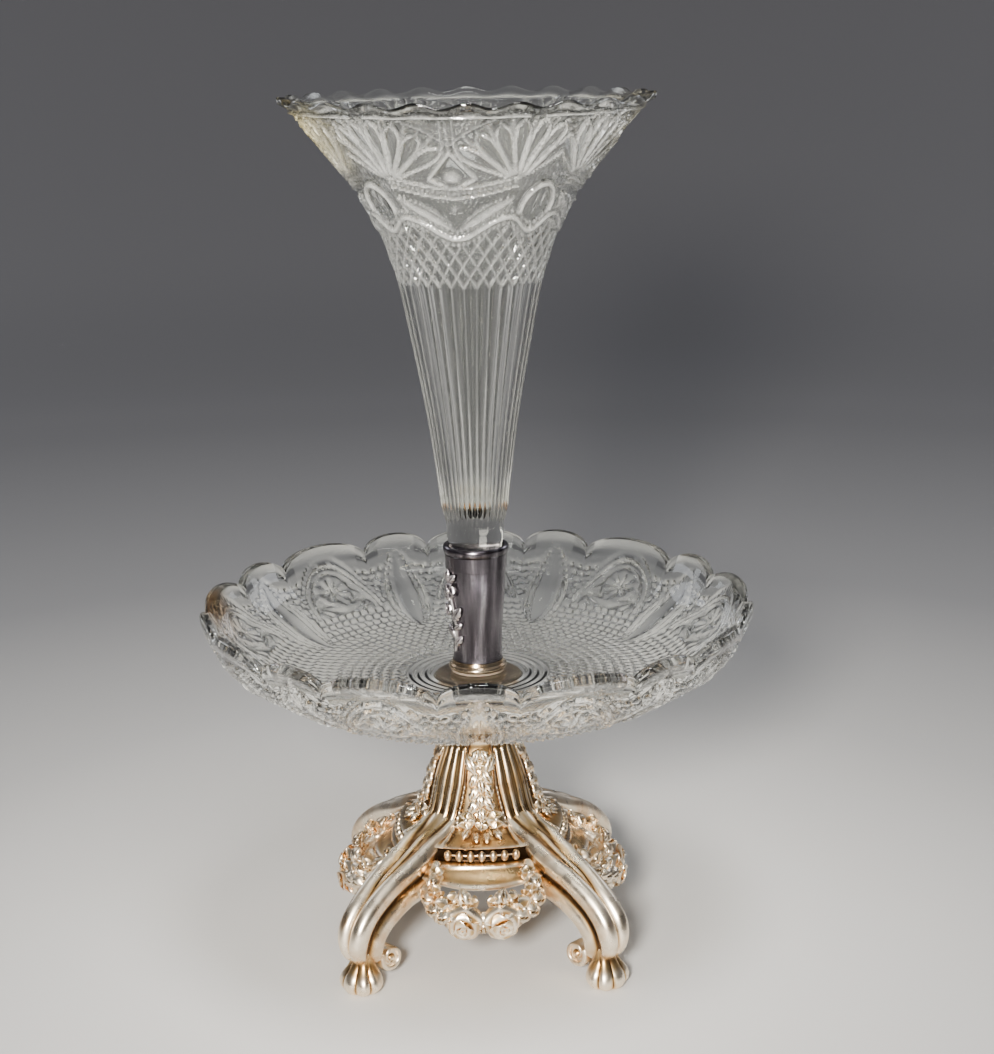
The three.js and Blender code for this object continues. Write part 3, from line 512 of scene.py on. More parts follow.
def bell_radius(z):
    """The outer skin's radius on the middle of a face."""
    for (r0, z0), (r1, z1) in zip(BELL, BELL[1:]):
        if min(z0, z1) <= z <= max(z0, z1) and z1 != z0:
            return mix(r0, r1, (z - z0) / (z1 - z0))
    return neck_radius


def face_factor(z, angle):
    """Nearly flat faces at the beads, bulged faces at the foot of the band, and round above the waist."""
    corner = (1 - math.cos(math.radians(4 * angle))) / 2
    flat = 0.07 * ramp(z, waist_z, bead_face_top) * ramp(z, band_bottom, band_top)
    return 1 + (flat - 0.1 * ramp(z, band_top, band_bottom)) * corner


def reed_rise(z, angle):
    """A thin ridge beside each garland, and four rolled reeds between them, rounded at their lower ends."""
    from_face = abs(wrapped(angle, 90))
    edge = mix(panel_edge + 8, panel_edge, ramp(z, 60, 84))
    ridge = 0.8 * bump(from_face - edge, 2.2) * ease(z, ridge_foot, 61.5) - 0.4 * (from_face < edge - 1)
    if from_face < edge + 1.5:
        return ridge
    pitch = (45 - edge - 1.5) / 2
    across = wrapped(from_face - edge - 1.5 - pitch / 2, pitch) / (pitch / 2)
    begun = ease(z, reed_foot + 2.7 * across * across, reed_foot + 3.3)
    rise = reed_height * (0.5 + 0.5 * math.cos(math.pi * across)) ** 0.8 - 0.7
    return max(ridge, rise * begun * (1 - ease(z, reed_top, reed_top + 2.5)))


def column_casting():
    outer = evenly(BELL, 0.7)
    inner = [(rod_bore, bell_top), (rod_bore, bell_top - 6), (neck_radius - casting_wall, bell_top - 6),
             (waist_radius - casting_wall, waist_z), (bead_face_radius - casting_wall - 2, bead_face_top - 3),
             (band_bottom_radius - casting_wall, band_bottom)]
    outer_run = length_of(outer) + 0.01
    bm = bmesh.new()
    lie = spun(bm, outer + inner + [outer[0]], 480, 4)
    shape_skin(bm, lie, lambda angle, radius, z, run:
               reed_rise(z, angle) if run < outer_run and z > ridge_foot else 0.0)
    for vert in bm.verts:
        radius, angle = polar(vert.co)
        if radius > rod_bore + 1:
            widened(vert, face_factor(vert.co.z, angle))
    all_round(bm, 4)
    piece = finished(bm, "cast_column", CAST, "stand", ["column_casting"], 35, (12, 0.4))
    # The bead channel is set to a full groove, so its colour is painted dark: painted shade behind the beads.
    hollow = piece.data.attributes["hollow"].data
    for vert in piece.data.vertices:
        if bead_face_bottom - channel_depth < vert.co.z / MM < bead_face_top + 0.2:
            hollow[vert.index].value = 1.0


def bead_strips():
    """Seven upright oval beads on a thin wire, in the channel above the band of each face, painted dark as
    shade.
    """
    bm = bmesh.new()
    middle = (bead_face_top + bead_face_bottom) / 2 - 0.5
    bead_pitch, bead_size = 5.2, (3.7, 4.0, 5.2)
    wire_end, wire_radius = 17.4, 0.5

    def on_face(x):
        angle = math.asin(x / bead_face_radius)
        return (bead_face_radius - channel_depth) * face_factor(middle, math.degrees(angle)) * math.cos(angle)

    away, up = Vector((0, wire_radius, 0)), Vector((0, 0, wire_radius))
    lofted(bm, [ring(Vector((x, -on_face(x), middle)), away, up, 8)
                for x in (mix(-wire_end, wire_end, i / 24) for i in range(25))])
    for i in range(7):
        x = (i - 3) * bead_pitch
        add_ornament(bm, BEAD, bead_size, Matrix.Translation((x, -on_face(x) - 1.0, middle)))
    set_round(bm, FACES, "bead_strip", "bead_wire", 60, (4, 0.5))


def drop_garlands():
    """Lapped leaves down each face, ending in a spread of flowers."""
    bm = bmesh.new()

    def lie_at(x, z, lift, roll=0.0):
        slope = math.atan2(bell_radius(z - 1.5) - bell_radius(z + 1.5), 3)
        y = -bell_radius(z) * math.cos(x / bell_radius(z)) - lift * math.cos(slope)
        return placed(x, y, z + lift * math.sin(slope), x / bell_radius(z), -slope, roll)

    # side, height, length, width, roll
    for x, z, length, width, roll in (
            (-4.2, 93.5, 11, 5.4, -0.45), (4.2, 93.5, 11, 5.4, 0.45), (-2.0, 97, 7.5, 4.6, 0.35),
            (2.0, 97, 7.5, 4.6, -0.35), (-3.1, 86.5, 8.5, 4.6, -2.75), (2.9, 88, 9, 4.8, 2.7),
            (-3.0, 80.6, 9, 5.0, -2.7), (3.3, 82, 9, 5.0, 2.75), (-3.5, 74.6, 9, 5.2, -2.7),
            (3.6, 76, 9.5, 5.2, 2.7), (0.2, 84, 8.5, 4.4, 3.0), (-0.3, 77.5, 8.5, 4.6, 3.2),
            (0.2, 71.5, 8, 4.6, 3.1)):
        add_ornament(bm, LEAF, (width, 2.0, length), lie_at(x, z, 1.1 if abs(x) > 1 else 1.9, roll))
    # side, height, size
    for x, z, size in ((0, 93.2, 5.6), (0.6, 87.6, 4.2)):
        add_blossom(bm, size, lie_at(x, z, 1.7))
    for x, z, size in ((-6.6, 68.6, 9.4), (6.6, 68.8, 9.4), (0.3, 67.4, 7.4)):
        add_blossom(bm, size, lie_at(x, z, 1.4), x)
    # side, height, length, width, roll
    for x, z, length, width, roll in (
            (-7.0, 63.6, 7.5, 3.8, -2.8), (-2.6, 62.8, 7.5, 3.8, -3.3), (2.4, 62.6, 7, 3.8, 3.2),
            (7.4, 63.4, 7.5, 3.8, 2.8), (-10.6, 66.8, 6, 3.4, -2.2), (10.6, 66.8, 6, 3.4, 2.2)):
        add_ornament(bm, LEAF, (width, 1.6, length), lie_at(x, z, 0.8, roll))
    set_round(bm, FACES, "leaf_drop", "drop_garland", 60, (4, 0.5))


# Legs, drawn in the plane of -Y and Z and then turned to their corners

ankle_share = 0.66  # width of the rolls at the ankle against their width above it
leg_stations = [
    # outer radius, outer height, inner radius, inner height, width
    (19.5, 74.5, 20.5, 39.5, 18.5),
    (27.5, 69.6, 27.5, 38.0, 19.6),
    (33.0, 66.4, 33.0, 37.0, 20.5),
    (40.5, 63.6, 40.0, 36.0, 21.0),
    (52.5, 57.2, 52.8, 34.0, 20.0),
    (66.3, 50.4, 62.3, 29.0, 18.4),
    (77.4, 43.0, 67.4, 24.5, 17.4),
    (85.2, 34.4, 69.8, 20.5, 17.2),
    (88.2, 25.5, 69.9, 17.0, 16.8),
    (87.0, 18.5, 69.2, 13.2, 15.8),
    (83.6, 13.2, 68.8, 9.8, 13.5),
]
volute_centre, volute_radius, volute_width = (63.0, 10.6), 5.8, 8.2
foot_centre, foot_radius, foot_toe, foot_heel = 79.6, 10.6, 8.4, 10.0


def leg_section(half, depth, roll, fillet, reeds):
    """Half of a section as (sideways, inwards) pairs: from the middle of the outer face round a big roll,
    a side groove and the side roll that ends in the scroll, to the middle of the back."""
    points = []
    middle = 1.3 * fillet
    wide, tall = (half - middle) / 2, min(depth * 0.24, 5.2)
    start = math.pi - math.asin(max(1 - roll / tall, 0.05))
    groove = math.acos(0.5)
    floor = tall * (1 - math.sin(start))
    for i in range(4):
        share = i / 4
        points.append((middle * share + 0.05 * i, floor - 1.7 * fillet * math.sqrt(1 - share * share)))
    for i in range(17):
        angle = mix(start, -groove, i / 16)
        ripple = reeds * (0.5 - 0.5 * math.cos(TAU * 2.5 * i / 16))
        points.append((middle + wide + wide * math.cos(angle), tall * (1 - math.sin(angle)) + ripple))
    low, turn_in = points[-1][1] + 0.07 * depth, 1.25
    reach = (depth * 0.985 - low) / (math.sin(groove) + math.sin(turn_in))
    centre = low + reach * math.sin(groove)
    for i in range(13):
        angle = mix(groove, -turn_in, i / 12)
        points.append((half - wide + wide * math.cos(angle), centre - reach * math.sin(angle)))
    points.append((half * 0.4, depth * 0.99))
    return points


def leg_arm(bm):
    """The arm: big rolls with soft grooves between them, which draw in at the ankle, and a slender fillet
    that dies out at the knee."""
    sections = []
    run = evenly(curve_points(leg_stations, 12), 0.9)
    for k, (outer_r, outer_z, inner_r, inner_z, width) in enumerate(run):
        share = k / (len(run) - 1)
        outer, inner = Vector((0, -outer_r, outer_z)), Vector((0, -inner_r, inner_z))
        back = inner - outer
        depth = back.length
        back.normalize()
        close = math.sqrt(max(1 - ramp(share, 0.93, 1.0) ** 2 * 0.85, 0.0))
        roll = mix(0.6, 3.4, ease(share, 0.08, 0.34))
        fillet = ease(share, 0.14, 0.3) * (1 - ease(share, 0.48, 0.7))
        reeds = 2.0 * (1 - ease(share, 0.3, 0.55))
        drawn_in = mix(1, ankle_share, ease(share, 0.8, 0.99))
        half = leg_section(width / 2 * drawn_in, depth, roll, fillet, reeds)
        loop = half + [(0, depth * 0.985)] + [(-x, d) for x, d in reversed(half[1:])]
        sections.append([(x * close, *(outer + back * mix(depth / 2, d, close))[1:]) for x, d in loop])
    verts = lofted(bm, sections)
    for _ in range(3):
        bmesh.ops.smooth_vert(bm, verts=verts, factor=0.5, use_axis_x=True, use_axis_y=True, use_axis_z=True)


def volute(bm):
    """The side rolls curl under the ankle into a scroll: a rolled rim round a sunk web with a raised eye."""
    centre = Vector((0, -volute_centre[0], volute_centre[1]))
    sections = []
    steps = 60
    for i in range(steps + 1):
        share = i / steps
        angle = math.radians(mix(35, -400, share))
        radius = mix(volute_radius + 1.9, volute_radius, ease(share, 0, 0.3)) - 3.2 * ease(share, 0.72, 1.0)
        thick = mix(1.7, 0.8, share)
        half = volute_width / 2 * mix(1.08, 0.92, share)
        out = Vector((0, -math.cos(angle), math.sin(angle)))
        middle = centre + out * (radius - thick)
        section = []
        for k in range(20):
            sideways, away = math.cos(TAU * k / 20), math.sin(TAU * k / 20)
            section.append(middle + Vector((half * math.copysign(abs(sideways) ** 0.35, sideways), 0, 0))
                           + out * thick * math.copysign(abs(away) ** 0.9, away))
        sections.append(section)
    lofted(bm, sections)
    web = [(-3.9, 0.3), (-3.4, 1.2), (-2.4, 1.9), (-2.7, 3.0), (-2.9, 4.9)]
    web += [(-side, reach) for side, reach in reversed(web)]
    lofted(bm, [ring(centre + Vector((side, 0, 0)), Vector((0, reach, 0)), Vector((0, 0, reach)), 28)
                for side, reach in web])


def shell_foot(bm):
    """A scallop shell that grows out of the rolls at the ankle, its lobes running over the toe."""
    # height, size against the foot, how far forward
    levels = curve_points([(19.5, 0.50, -0.6), (16.6, 0.50, -1.0), (13.6, 0.56, -0.9), (10.6, 0.72, -0.4),
                           (8.0, 0.9, 0.05), (5.2, 1.0, 0.3), (3.0, 0.99, 0.3), (1.2, 0.88, 0.25),
                           (0.0, 0.7, 0.1)], 3)
    sections = []
    for z, size, forward in levels:
        section = []
        for i in range(84):
            angle = TAU * i / 84
            outward = math.cos(angle)
            lobe = abs(math.cos(angle * 3.5))
            groove = ease(outward, -0.45, 0.1) * 0.15 * (1 - lobe) ** 1.1 * ease(z, 19, 9)
            radius = foot_radius * size * (1 - groove)
            reach = (foot_toe if outward > 0 else foot_heel) / foot_radius
            section.append((radius * math.sin(angle), -(foot_centre + forward + radius * outward * reach), z))
        sections.append(section)
    lofted(bm, sections)


def legs():
    bm = bmesh.new()
    leg_arm(bm)
    volute(bm)
    shell_foot(bm)
    set_round(bm, CORNERS, "scroll_leg", "leg", 50, (10, 0.55))


# Rose swags

# side, forward, height, from the leg to near the bottom of the curve
swag_half = [(20.6, 38.0, 53.6), (21.3, 42.0, 50.0), (22.3, 46.6, 44.0), (21.2, 53.0, 40.2),
             (15.0, 58.4, 37.5)]
swag_bottom = (0.0, 60.6, 36.0)
rose_side, rose_forward, rose_height, rose_size = 8.3, 60.0, 34.8, 19.0


def swags():
    """Leaves and small flowers bound on a rope, with two full roses at the bottom of its curve."""
    bm = bmesh.new()
    left = [(-x, -y, z) for x, y, z in swag_half]
    right = [(x, -y, z) for x, y, z in reversed(swag_half)]
    path = evenly(curve_points(left + [(0, -swag_bottom[1], swag_bottom[2])] + right, 8), 2.0)
    last = len(path) - 1
    rope = []
    for i, point in enumerate(path):
        along = (Vector(path[min(i + 1, last)]) - Vector(path[max(i - 1, 0)])).normalized()
        across = along.cross(Vector((0, -1, 0))).normalized()
        girth = (3.1 + 0.3 * math.sin(i * 1.9)) * mix(1, 0.5, ramp(point[2], 50, 55))
        rope.append(ring(Vector(point), across * girth, across.cross(along) * girth, 12))
    lofted(bm, rope)
    for i in range(0, last + 1, 3):
        share = i / last
        x, y, z = path[i]
        if 0.42 < share < 0.58 or z > 49.5:
            continue
        hand = -1 if share < 0.5 else 1
        climb = ramp(abs(share - 0.5), 0.28, 0.42)
        for fan in (-1, 1):
            roll = hand * mix(2.6, 0.3, climb) + fan * 0.85 + 0.25 * math.sin(i * 2.3)
            place = placed(x, y - 2.4, z, math.atan2(x, -y), -0.25 * climb, roll)
            add_ornament(bm, LEAF, (6.8, 4.0, 10.0), place @ Matrix.Translation((0, 0, 2.4)))
    for hand in (-1, 1):
        rose = placed(hand * rose_side, -rose_forward, rose_height, hand * 0.14, 0.2)
        add_rose(bm, rose_size, rose, hand * 0.5)
        # side, forward, height, size, turn
        for x, y, z, size, face in ((17.8, 57.6, 39.6, 12.5, 0.42), (12.6, 57.6, 44.0, 9.0, 0.2),
                                    (23.2, 51.0, 41.8, 10.0, 0.75), (21.0, 54.0, 46.6, 8.4, 0.5),
                                    (20.8, 43.6, 50.2, 8.0, 0.45), (5.0, 58.8, 43.4, 7.0, 0.05)):
            add_blossom(bm, size, placed(hand * x, -y, z, hand * face, -0.35 if z > 47 else 0.1), hand * size)
        # side, height, roll, length, width
        for x, z, roll, length, width in ((8.4, 44.8, 0.25, 10, 7.0), (15.8, 33.0, 2.5, 9, 6.4),
                                          (20.8, 34.4, 2.7, 9.5, 6.2), (24.2, 37.4, 2.4, 8.5, 5.4),
                                          (0.9, 31.4, 3.0, 7, 5.0)):
            forward, lean = rose_forward - 0.035 * (x - 4) ** 2 * (x > 4), 0.35 if z < 40 else -0.15
            add_ornament(bm, LEAF, (width, 3.0, length),
                         placed(hand * x, -forward, z, hand * x * 0.028, lean, hand * roll))
    set_round(bm, FACES, "rose_garland", "rose_swag", 60, (5, 0.6))


# Turned pieces

def turned(name, profile, material, body, nodes):
    bm = bmesh.new()
    spun(bm, profile, 96)
    finished(bm, name, material, body, nodes, 32)


collar_bottom, collar_height = 104.3, 22.4
sleeve_foot_z, sleeve_tube_z, sleeve_tube_top, sleeve_lip_z = 135.4, 139.9, 190.2, 190.5
sleeve_wall = 1.1
sleeve_ledge = mix(sleeve_tube_z, sleeve_tube_top, 0.87)
seam_turn, spray_turn = 36, -58  # degrees from the front


def seat_collar():
    base, top = collar_bottom, collar_bottom + collar_height
    outer = curve_points([(15.4, base), (15.8, base + 1.2), (15.2, base + 2.4)], 4)
    outer += curve_points([(13.6, base + 3.2), (13.5, base + 9.4), (16.2, base + 15.6), (20.4, base + 19.4),
                           (21.0, base + 20.6), (21.0, top - 0.3), (20.7, top)], 6)
    turned("turned_collar", outer + [(rod_bore, top), (rod_bore, base), outer[0]], TURNED, "stand",
           ["seat_collar"])


def sleeve_foot():
    z = sleeve_foot_z
    flare = curve_points([(12.9, z), (13.5, z + 0.9), (13.1, z + 2.0), (12.3, z + 2.6), (11.7, z + 4.2)], 5)
    inside = [(9.8, z + 4.2), (9.8, z + 14), (0, z + 14), (0, z + 8.3), (rod_bore, z + 8.3), (rod_bore, z)]
    turned("sleeve_foot_ring", [(rod_bore, z)] + flare + inside, TURNED, "sleeve",
           ["sleeve_foot"])


def sleeve_radius(z):
    return mix(11.2, 13.9, ease((z - sleeve_tube_z) / (sleeve_tube_top - sleeve_tube_z), 0.05, 1.0))


def sleeve_tube():
    low, high, ledge = sleeve_tube_z, sleeve_tube_top, sleeve_ledge
    at_ledge, middle = sleeve_radius(ledge), mix(low, high, 0.4)
    outer = [(11.6, low), (11.3, low + 1.2)]
    outer += [(sleeve_radius(z), z) for z in np.linspace(low + 3, ledge - 0.4, 14)]
    outer += [(at_ledge + 0.35, ledge), (at_ledge + 0.4, ledge + 1.2), (14.3, high)]
    inner = [(13.2, high), (at_ledge - sleeve_wall, ledge),
             (sleeve_radius(middle) - sleeve_wall - 0.1, middle), (10.1, low)]
    outer_run = length_of(outer) - 0.5

    def seam(angle, radius, z, run):
        on_tube = 2 < run < outer_run and z < ledge - 1
        return 0.14 * bump(wrapped(angle - seam_turn, 360), 3.2) if on_tube else 0.0

    bm = bmesh.new()
    shape_skin(bm, spun(bm, outer + inner + [outer[0]], 144), seam)
    finished(bm, "sleeve_wall", TARNISHED, "sleeve", ["sleeve_tube"], 35)


def sleeve_lip():
    z = sleeve_lip_z
    roll = curve_points([(14.2, z), (14.9, z + 0.9), (15.2, z + 2.2), (14.9, z + 3.4), (14.1, z + 4.0),
                         (13.2, z + 3.7), (12.9, z + 2.4)], 5)
    turned("sleeve_rolled_lip", roll + [(12.9, z), roll[0]], TARNISHED, "sleeve",
           ["sleeve_lip"])


def flower_spray():
    """A cast sprig soldered on the left of the sleeve: a wavy stem, leaves and two flowers."""
    bm = bmesh.new()
    low, height, stem_radius = sleeve_tube_z + 5, 36, 0.75

    def around(side, rise, lift=0.6):
        z = low + rise * height
        turn = math.radians(spray_turn) + side / sleeve_radius(z)
        radius = sleeve_radius(z) + lift
        return Vector((radius * math.sin(turn), -radius * math.cos(turn), z)), turn

    stem = []
    for i in range(31):
        point, turn = around(1.6 * math.sin(i / 30 * 5), i / 30)
        out, side = Vector((math.sin(turn), -math.cos(turn), 0)), Vector((math.cos(turn), math.sin(turn), 0))
        stem.append(ring(point, out * stem_radius, side * stem_radius, 8))
    lofted(bm, stem)
    # side, share of the height, length, width, roll
    for side, rise, length, width, roll in (
            (2.8, 0.50, 9, 4.2, 0.6), (-1.6, 0.26, 8, 4.0, -0.8), (2.6, 0.14, 7.5, 3.6, 0.7),
            (-1.3, 1.0, 7, 3.6, 0.1), (1.8, 0.98, 6, 3.0, 0.8), (-3.4, 0.72, 6.5, 3.2, -0.9),
            (3.0, 0.34, 6, 3, 0.9)):
        point, turn = around(side, rise, 0.9)
        add_ornament(bm, LEAF, (width, 1.4, length), placed(*point, turn, 0.1, roll))
    for side, rise, size in ((0.6, 0.82, 8.0), (-2.6, 0.56, 6.6)):
        point, turn = around(side, rise, 1.1)
        add_blossom(bm, size, placed(*point, turn))
    finished(bm, "sleeve_flower_spray", SPRAY, "sleeve", ["flower_spray"], 60,
             (4, 0.3))


# Pressed glass. In a relief, the numbers beside each form are its height and its half width in mm.

def stained(piece, amount):
    """Keeps amount(x, y, z) in mm as the attribute 'stain'."""
    values = [amount(*(vert.co / MM)) for vert in piece.data.vertices]
    piece.data.attributes.new("stain", "FLOAT", "POINT").data.foreach_set("value", values)


def line_ridge(x, y, a, b, reach):
    """A ridge along the straight line from a to b."""
    length_sq = (b[0] - a[0]) ** 2 + (b[1] - a[1]) ** 2
    share = min(max(((x - a[0]) * (b[0] - a[0]) + (y - a[1]) * (b[1] - a[1])) / length_sq, 0), 1)
    return bump(math.hypot(x - mix(a[0], b[0], share), y - mix(a[1], b[1], share)), reach)


def almond(x, y, foot, tip, half_width, sharpness):
    """Depth inside an almond from foot to tip: half_width on its middle line, 0 on its edge, less outside."""
    length = math.dist(foot, tip)
    ux, uy = (tip[0] - foot[0]) / length, (tip[1] - foot[1]) / length
    along = ((x - foot[0]) * ux + (y - foot[1]) * uy) / length
    if not 0 < along < 1:
        return -half_width
    across = abs((x - foot[0]) * uy - (y - foot[1]) * ux)
    return half_width * (1 - across / (half_width * math.sin(math.pi * along) ** sharpness + 1e-6))


def bead_row(along, across, pitch, radius):
    """Round beads at an even pitch along a line."""
    near = wrapped(along, pitch)
    inside = 1 - (near * near + across * across) / (radius * radius)
    return math.sqrt(inside) if inside > 0 else 0.0


bowl_bottom = 128.3
bowl_floor_radius = 75.0
bowl_hole = 5.6
bowl_wall = [(75, 0), (90, 2.86), (105, 11.9), (118, 21.7), (127.5, 41)]
bowl_glass, bowl_rim_glass = 5.5, 3.6
bowl_lobes = 9  # of each size
hobnail_pitch, hobnail_radius = 4.6, 35.5  # and the radius where they begin
hub_rings = (23.6, 27.2, 30.8, 34.4)
bowl_rise = 0.45  # how far the smooth ground lies under the middle of the relief
panel_foot, panel_tip, panel_half = 66, 9, 9.6
arch_y, arch_half, arch_tall = 42, 19.5, 29
star_y, star_reach = 27.5, 10
fan_side, fan_y = 17.5, 35
dip_in, dip_down = 3.5, 8.0  # of the rim's valleys


def lobe_height(angle):
    """0 in a valley of the rim and 1 on a lobe; small lobes of 16 degrees between large ones of 24."""
    within = wrapped(angle, 40)
    share = within / 8 if abs(within) <= 8 else (abs(within) - 20) / 12
    return math.sqrt(max(0.0, 1 - share * share))


def arch_relief(x, y, gap):
    """An arch under a large lobe: double lines and beads round a star, with fans in its lower corners."""
    height = max(2.2 * bump(gap, 1.4), 1.6 * bump(gap + 3.0, 1.2))
    if gap > 1.2:
        along = math.atan2(x / arch_half, (arch_y - y) / arch_tall) * 25
        height = max(height, 1.6 * bead_row(along, gap - 2.8, 2.7, 1.3))
    if gap < -3.6:
        reach = math.hypot(x, y - star_y)
        if reach < star_reach:
            rays = abs(math.cos(4 * math.atan2(x, y - star_y))) ** 2
            return max(height, 2.4 * rays * ramp(reach, star_reach + 0.2, 4))
        for hand in (-1, 1):
            across, down = x - hand * fan_side, y - fan_y
            spread = math.degrees(math.atan2(down, -hand * across))
            if -75 < spread < 50:
                ray = abs(math.cos(math.radians(spread * 180 / 25))) ** 1.6
                height = max(height, 2.0 * ray * ease(math.hypot(across, down), 1, 5))
    return height


def bowl_relief(angle, radius, run, rim_run):
    """Pattern under the bowl. x is the way round from the middle of a lobe, y the way in from the rim."""
    y = rim_run - run
    x_small, x_large = (math.radians(wrapped(angle - turn, 40)) * radius for turn in (0, 20))
    margin = 1.6 * bump(y - 6.2, mix(1.5, 6.2, lobe_height(angle))) if y < 12.5 else 0.0
    panel = almond(x_small, y, (0, panel_foot), (0, panel_tip), panel_half, 0.7)
    if panel > -3.2:
        rims = max(2.3 * bump(panel, 1.5), 1.7 * bump(panel - 3.1, 1.2))
        inside = 0.9 * bump(panel_half - panel, 7.5) if panel > 3 else 0.0
        beads = 1.7 * bead_row(y, panel + 2.4, 2.7, 1.3) if y < 40 else 0.0
        return max(rims, inside, beads, margin)
    gap = (math.hypot(x_large / arch_half, (y - arch_y) / arch_tall) - 1) * 22
    if y < arch_y + 2 and gap < 4.2:
        return max(arch_relief(x_large, y, gap), margin)
    if y < 15 or (y < arch_y + 2 and gap < 5):
        return margin
    if radius > hobnail_radius:
        row = round((run - hobnail_radius) / hobnail_pitch)
        along = run - hobnail_radius - row * hobnail_pitch
        cell = 40 / round(TAU * max(radius - along, 30) / hobnail_pitch / bowl_lobes)
        across = math.radians(wrapped(angle + (row % 2) * cell / 2, cell)) * radius
        inside = 1 - (across * across + along * along) / (hobnail_pitch / 2) ** 2
        return 2.2 * max(inside, 0.0) ** 1.1
    return 1.3 * max(bump(radius - middle, 1.6) for middle in hub_rings)


def glass_bowl():
    low, high = bowl_bottom, bowl_wall[-1][1]
    wall = curve_points(bowl_wall, 14)
    outer = evenly([(bowl_hole, 0), (21, 0)], 5.0)[:-1]
    outer += evenly([(21, 0), (bowl_floor_radius - 2, 0)] + wall, 1.12)
    inner = inner_wall(wall, lambda share, z: mix(bowl_glass, bowl_rim_glass, share))[2:-2]
    inner = evenly([(bowl_hole, bowl_glass), (60, bowl_glass)] + inner, 11.0)
    outer[-1:] = [(127.0, 39.4), (127.1, 40.3), (126.5, 40.9), (125.5, 40.9), (124.6, 40.3)]
    rim_run = length_of(outer) - 3

    def relief(angle, radius, z, run):
        if run > rim_run - 1.5:
            return 0.0
        ground = bowl_rise * ramp(radius, 20, 24) * ramp(rim_run - run, 1.5, 8)
        return bowl_relief(angle, radius, run + bowl_hole, rim_run + bowl_hole) - ground

    bm = bmesh.new()
    lie = spun(bm, [(r, z + low) for r, z in outer + inner[::-1] + [outer[0]]], 720, bowl_lobes)
    shape_skin(bm, lie, relief, (1.0, 1.7))
    for vert in bm.verts:
        radius, angle = polar(vert.co)
        dip = ease(vert.co.z, low + 15, low + high) * (1 - lobe_height(angle))
        widened(vert, (radius - dip_in * dip) / radius, -dip_down * dip)
    all_round(bm, bowl_lobes)
    piece = finished(bm, "pressed_bowl", BOWL_GLASS, "stand", ["glass_bowl"], 80)
    stained(piece, lambda x, y, z: bump(math.dist((x, y), (-122, 6)), 26) * ramp(z, 145, 165))


vase_foot = 193.0
vase_outer = [(13.3, 205.3), (13.6, 206.2), (19.7, 254.1), (30.3, 311.3), (34.5, 326.5), (40.0, 341.0),
              (54.3, 364.3), (73.0, 387.6), (83.4, 396.5)]
vase_glass, vase_rim_glass = 4.4, 2.6
flutes, flute_foot, flute_top = 36, 206.0, 316.0
lattice_step = 10.0
motif_turn = -7.0
medal_z, medal_half, medal_tall = 352.2, 7.8, 10.6
leaf_side, leaf_foot, leaf_end, leaf_tip, leaf_half = 1.0, 341.8, 25.5, 356.2, 3.9
kite_top, kite_middle, kite_bottom, kite_corner = 376.2, 364.8, 359.5, 9.6
fan_turn, fan_z, petal_pitch = 28.8, 362.9, 16.5
rim_waves, rim_wave_depth = 24, 2.4


def swag_line(turn):
    """Height of the bead swag that closes the diamonds, by the angle from the middle of a motif."""
    turn = abs(turn)
    if turn < 30:
        return 338.3 + 9.2 * math.sin(math.pi / 2 * turn / 30) ** 2
    return 347.5 - 6.5 * math.sin(math.pi / 2 * (turn - 30) / 15) ** 2


def fan_relief(x, side, scale, z, run, at):
    """Kites with a button, and fans of petals with beads between them under a ring of beads."""
    top, middle, bottom = at(kite_top), at(kite_middle), at(kite_bottom)
    height = 2.0 * max(line_ridge(side, run, (0, top), (kite_corner, middle), 1.6),
                       line_ridge(side, run, (kite_corner, middle), (0, bottom), 1.6))
    if side / kite_corner + (run - middle) / (top - middle if run > middle else bottom - middle) < 1:
        button = math.hypot(x / 5.0, (run - at(365.2)) / 4.4)
        return max(height, 1.8 * bump(button, 1.0) ** 0.6)
    if run > top - 1:
        height = max(height, 1.3 * max(bump(side, 0.9), bump(side - 2.6, 0.9)) * ramp(z, 391, 389))
    across, up = side - fan_turn * scale, run - at(fan_z)
    reach = math.hypot(across, up)
    direction = math.degrees(math.atan2(-across, up))
    if reach < 37 and -50 < direction < 66:
        half_width = 0.135 * reach * math.sqrt(1 - ramp(reach, 21, 34) ** 2)
        petal = half_width - abs(math.radians(wrapped(direction - 57, petal_pitch))) * reach
        if petal > -0.3:
            return max(height, 2.2 * bump(petal - 0.3, 1.1) * ramp(reach, 1, 6), 0.3 * min(max(petal, 0), 2))
        between = math.radians(wrapped(direction - 57 - petal_pitch / 2, petal_pitch))
        return max(height, 1.4 * bead_row(reach, between * reach, 2.2, 1.1) * ramp(reach, 12, 18))
    if z < 389.5:
        beads = 0.8 * bead_row(x + 1.1 * (round(run / 2.3) % 2), wrapped(run, 2.3), 2.3, 1.1)
        return max(height, 1.2 * bump(reach - 38.5, 1.1), beads)
    return max(height, 1.8 * bump(run - at(391.2), 1.5))


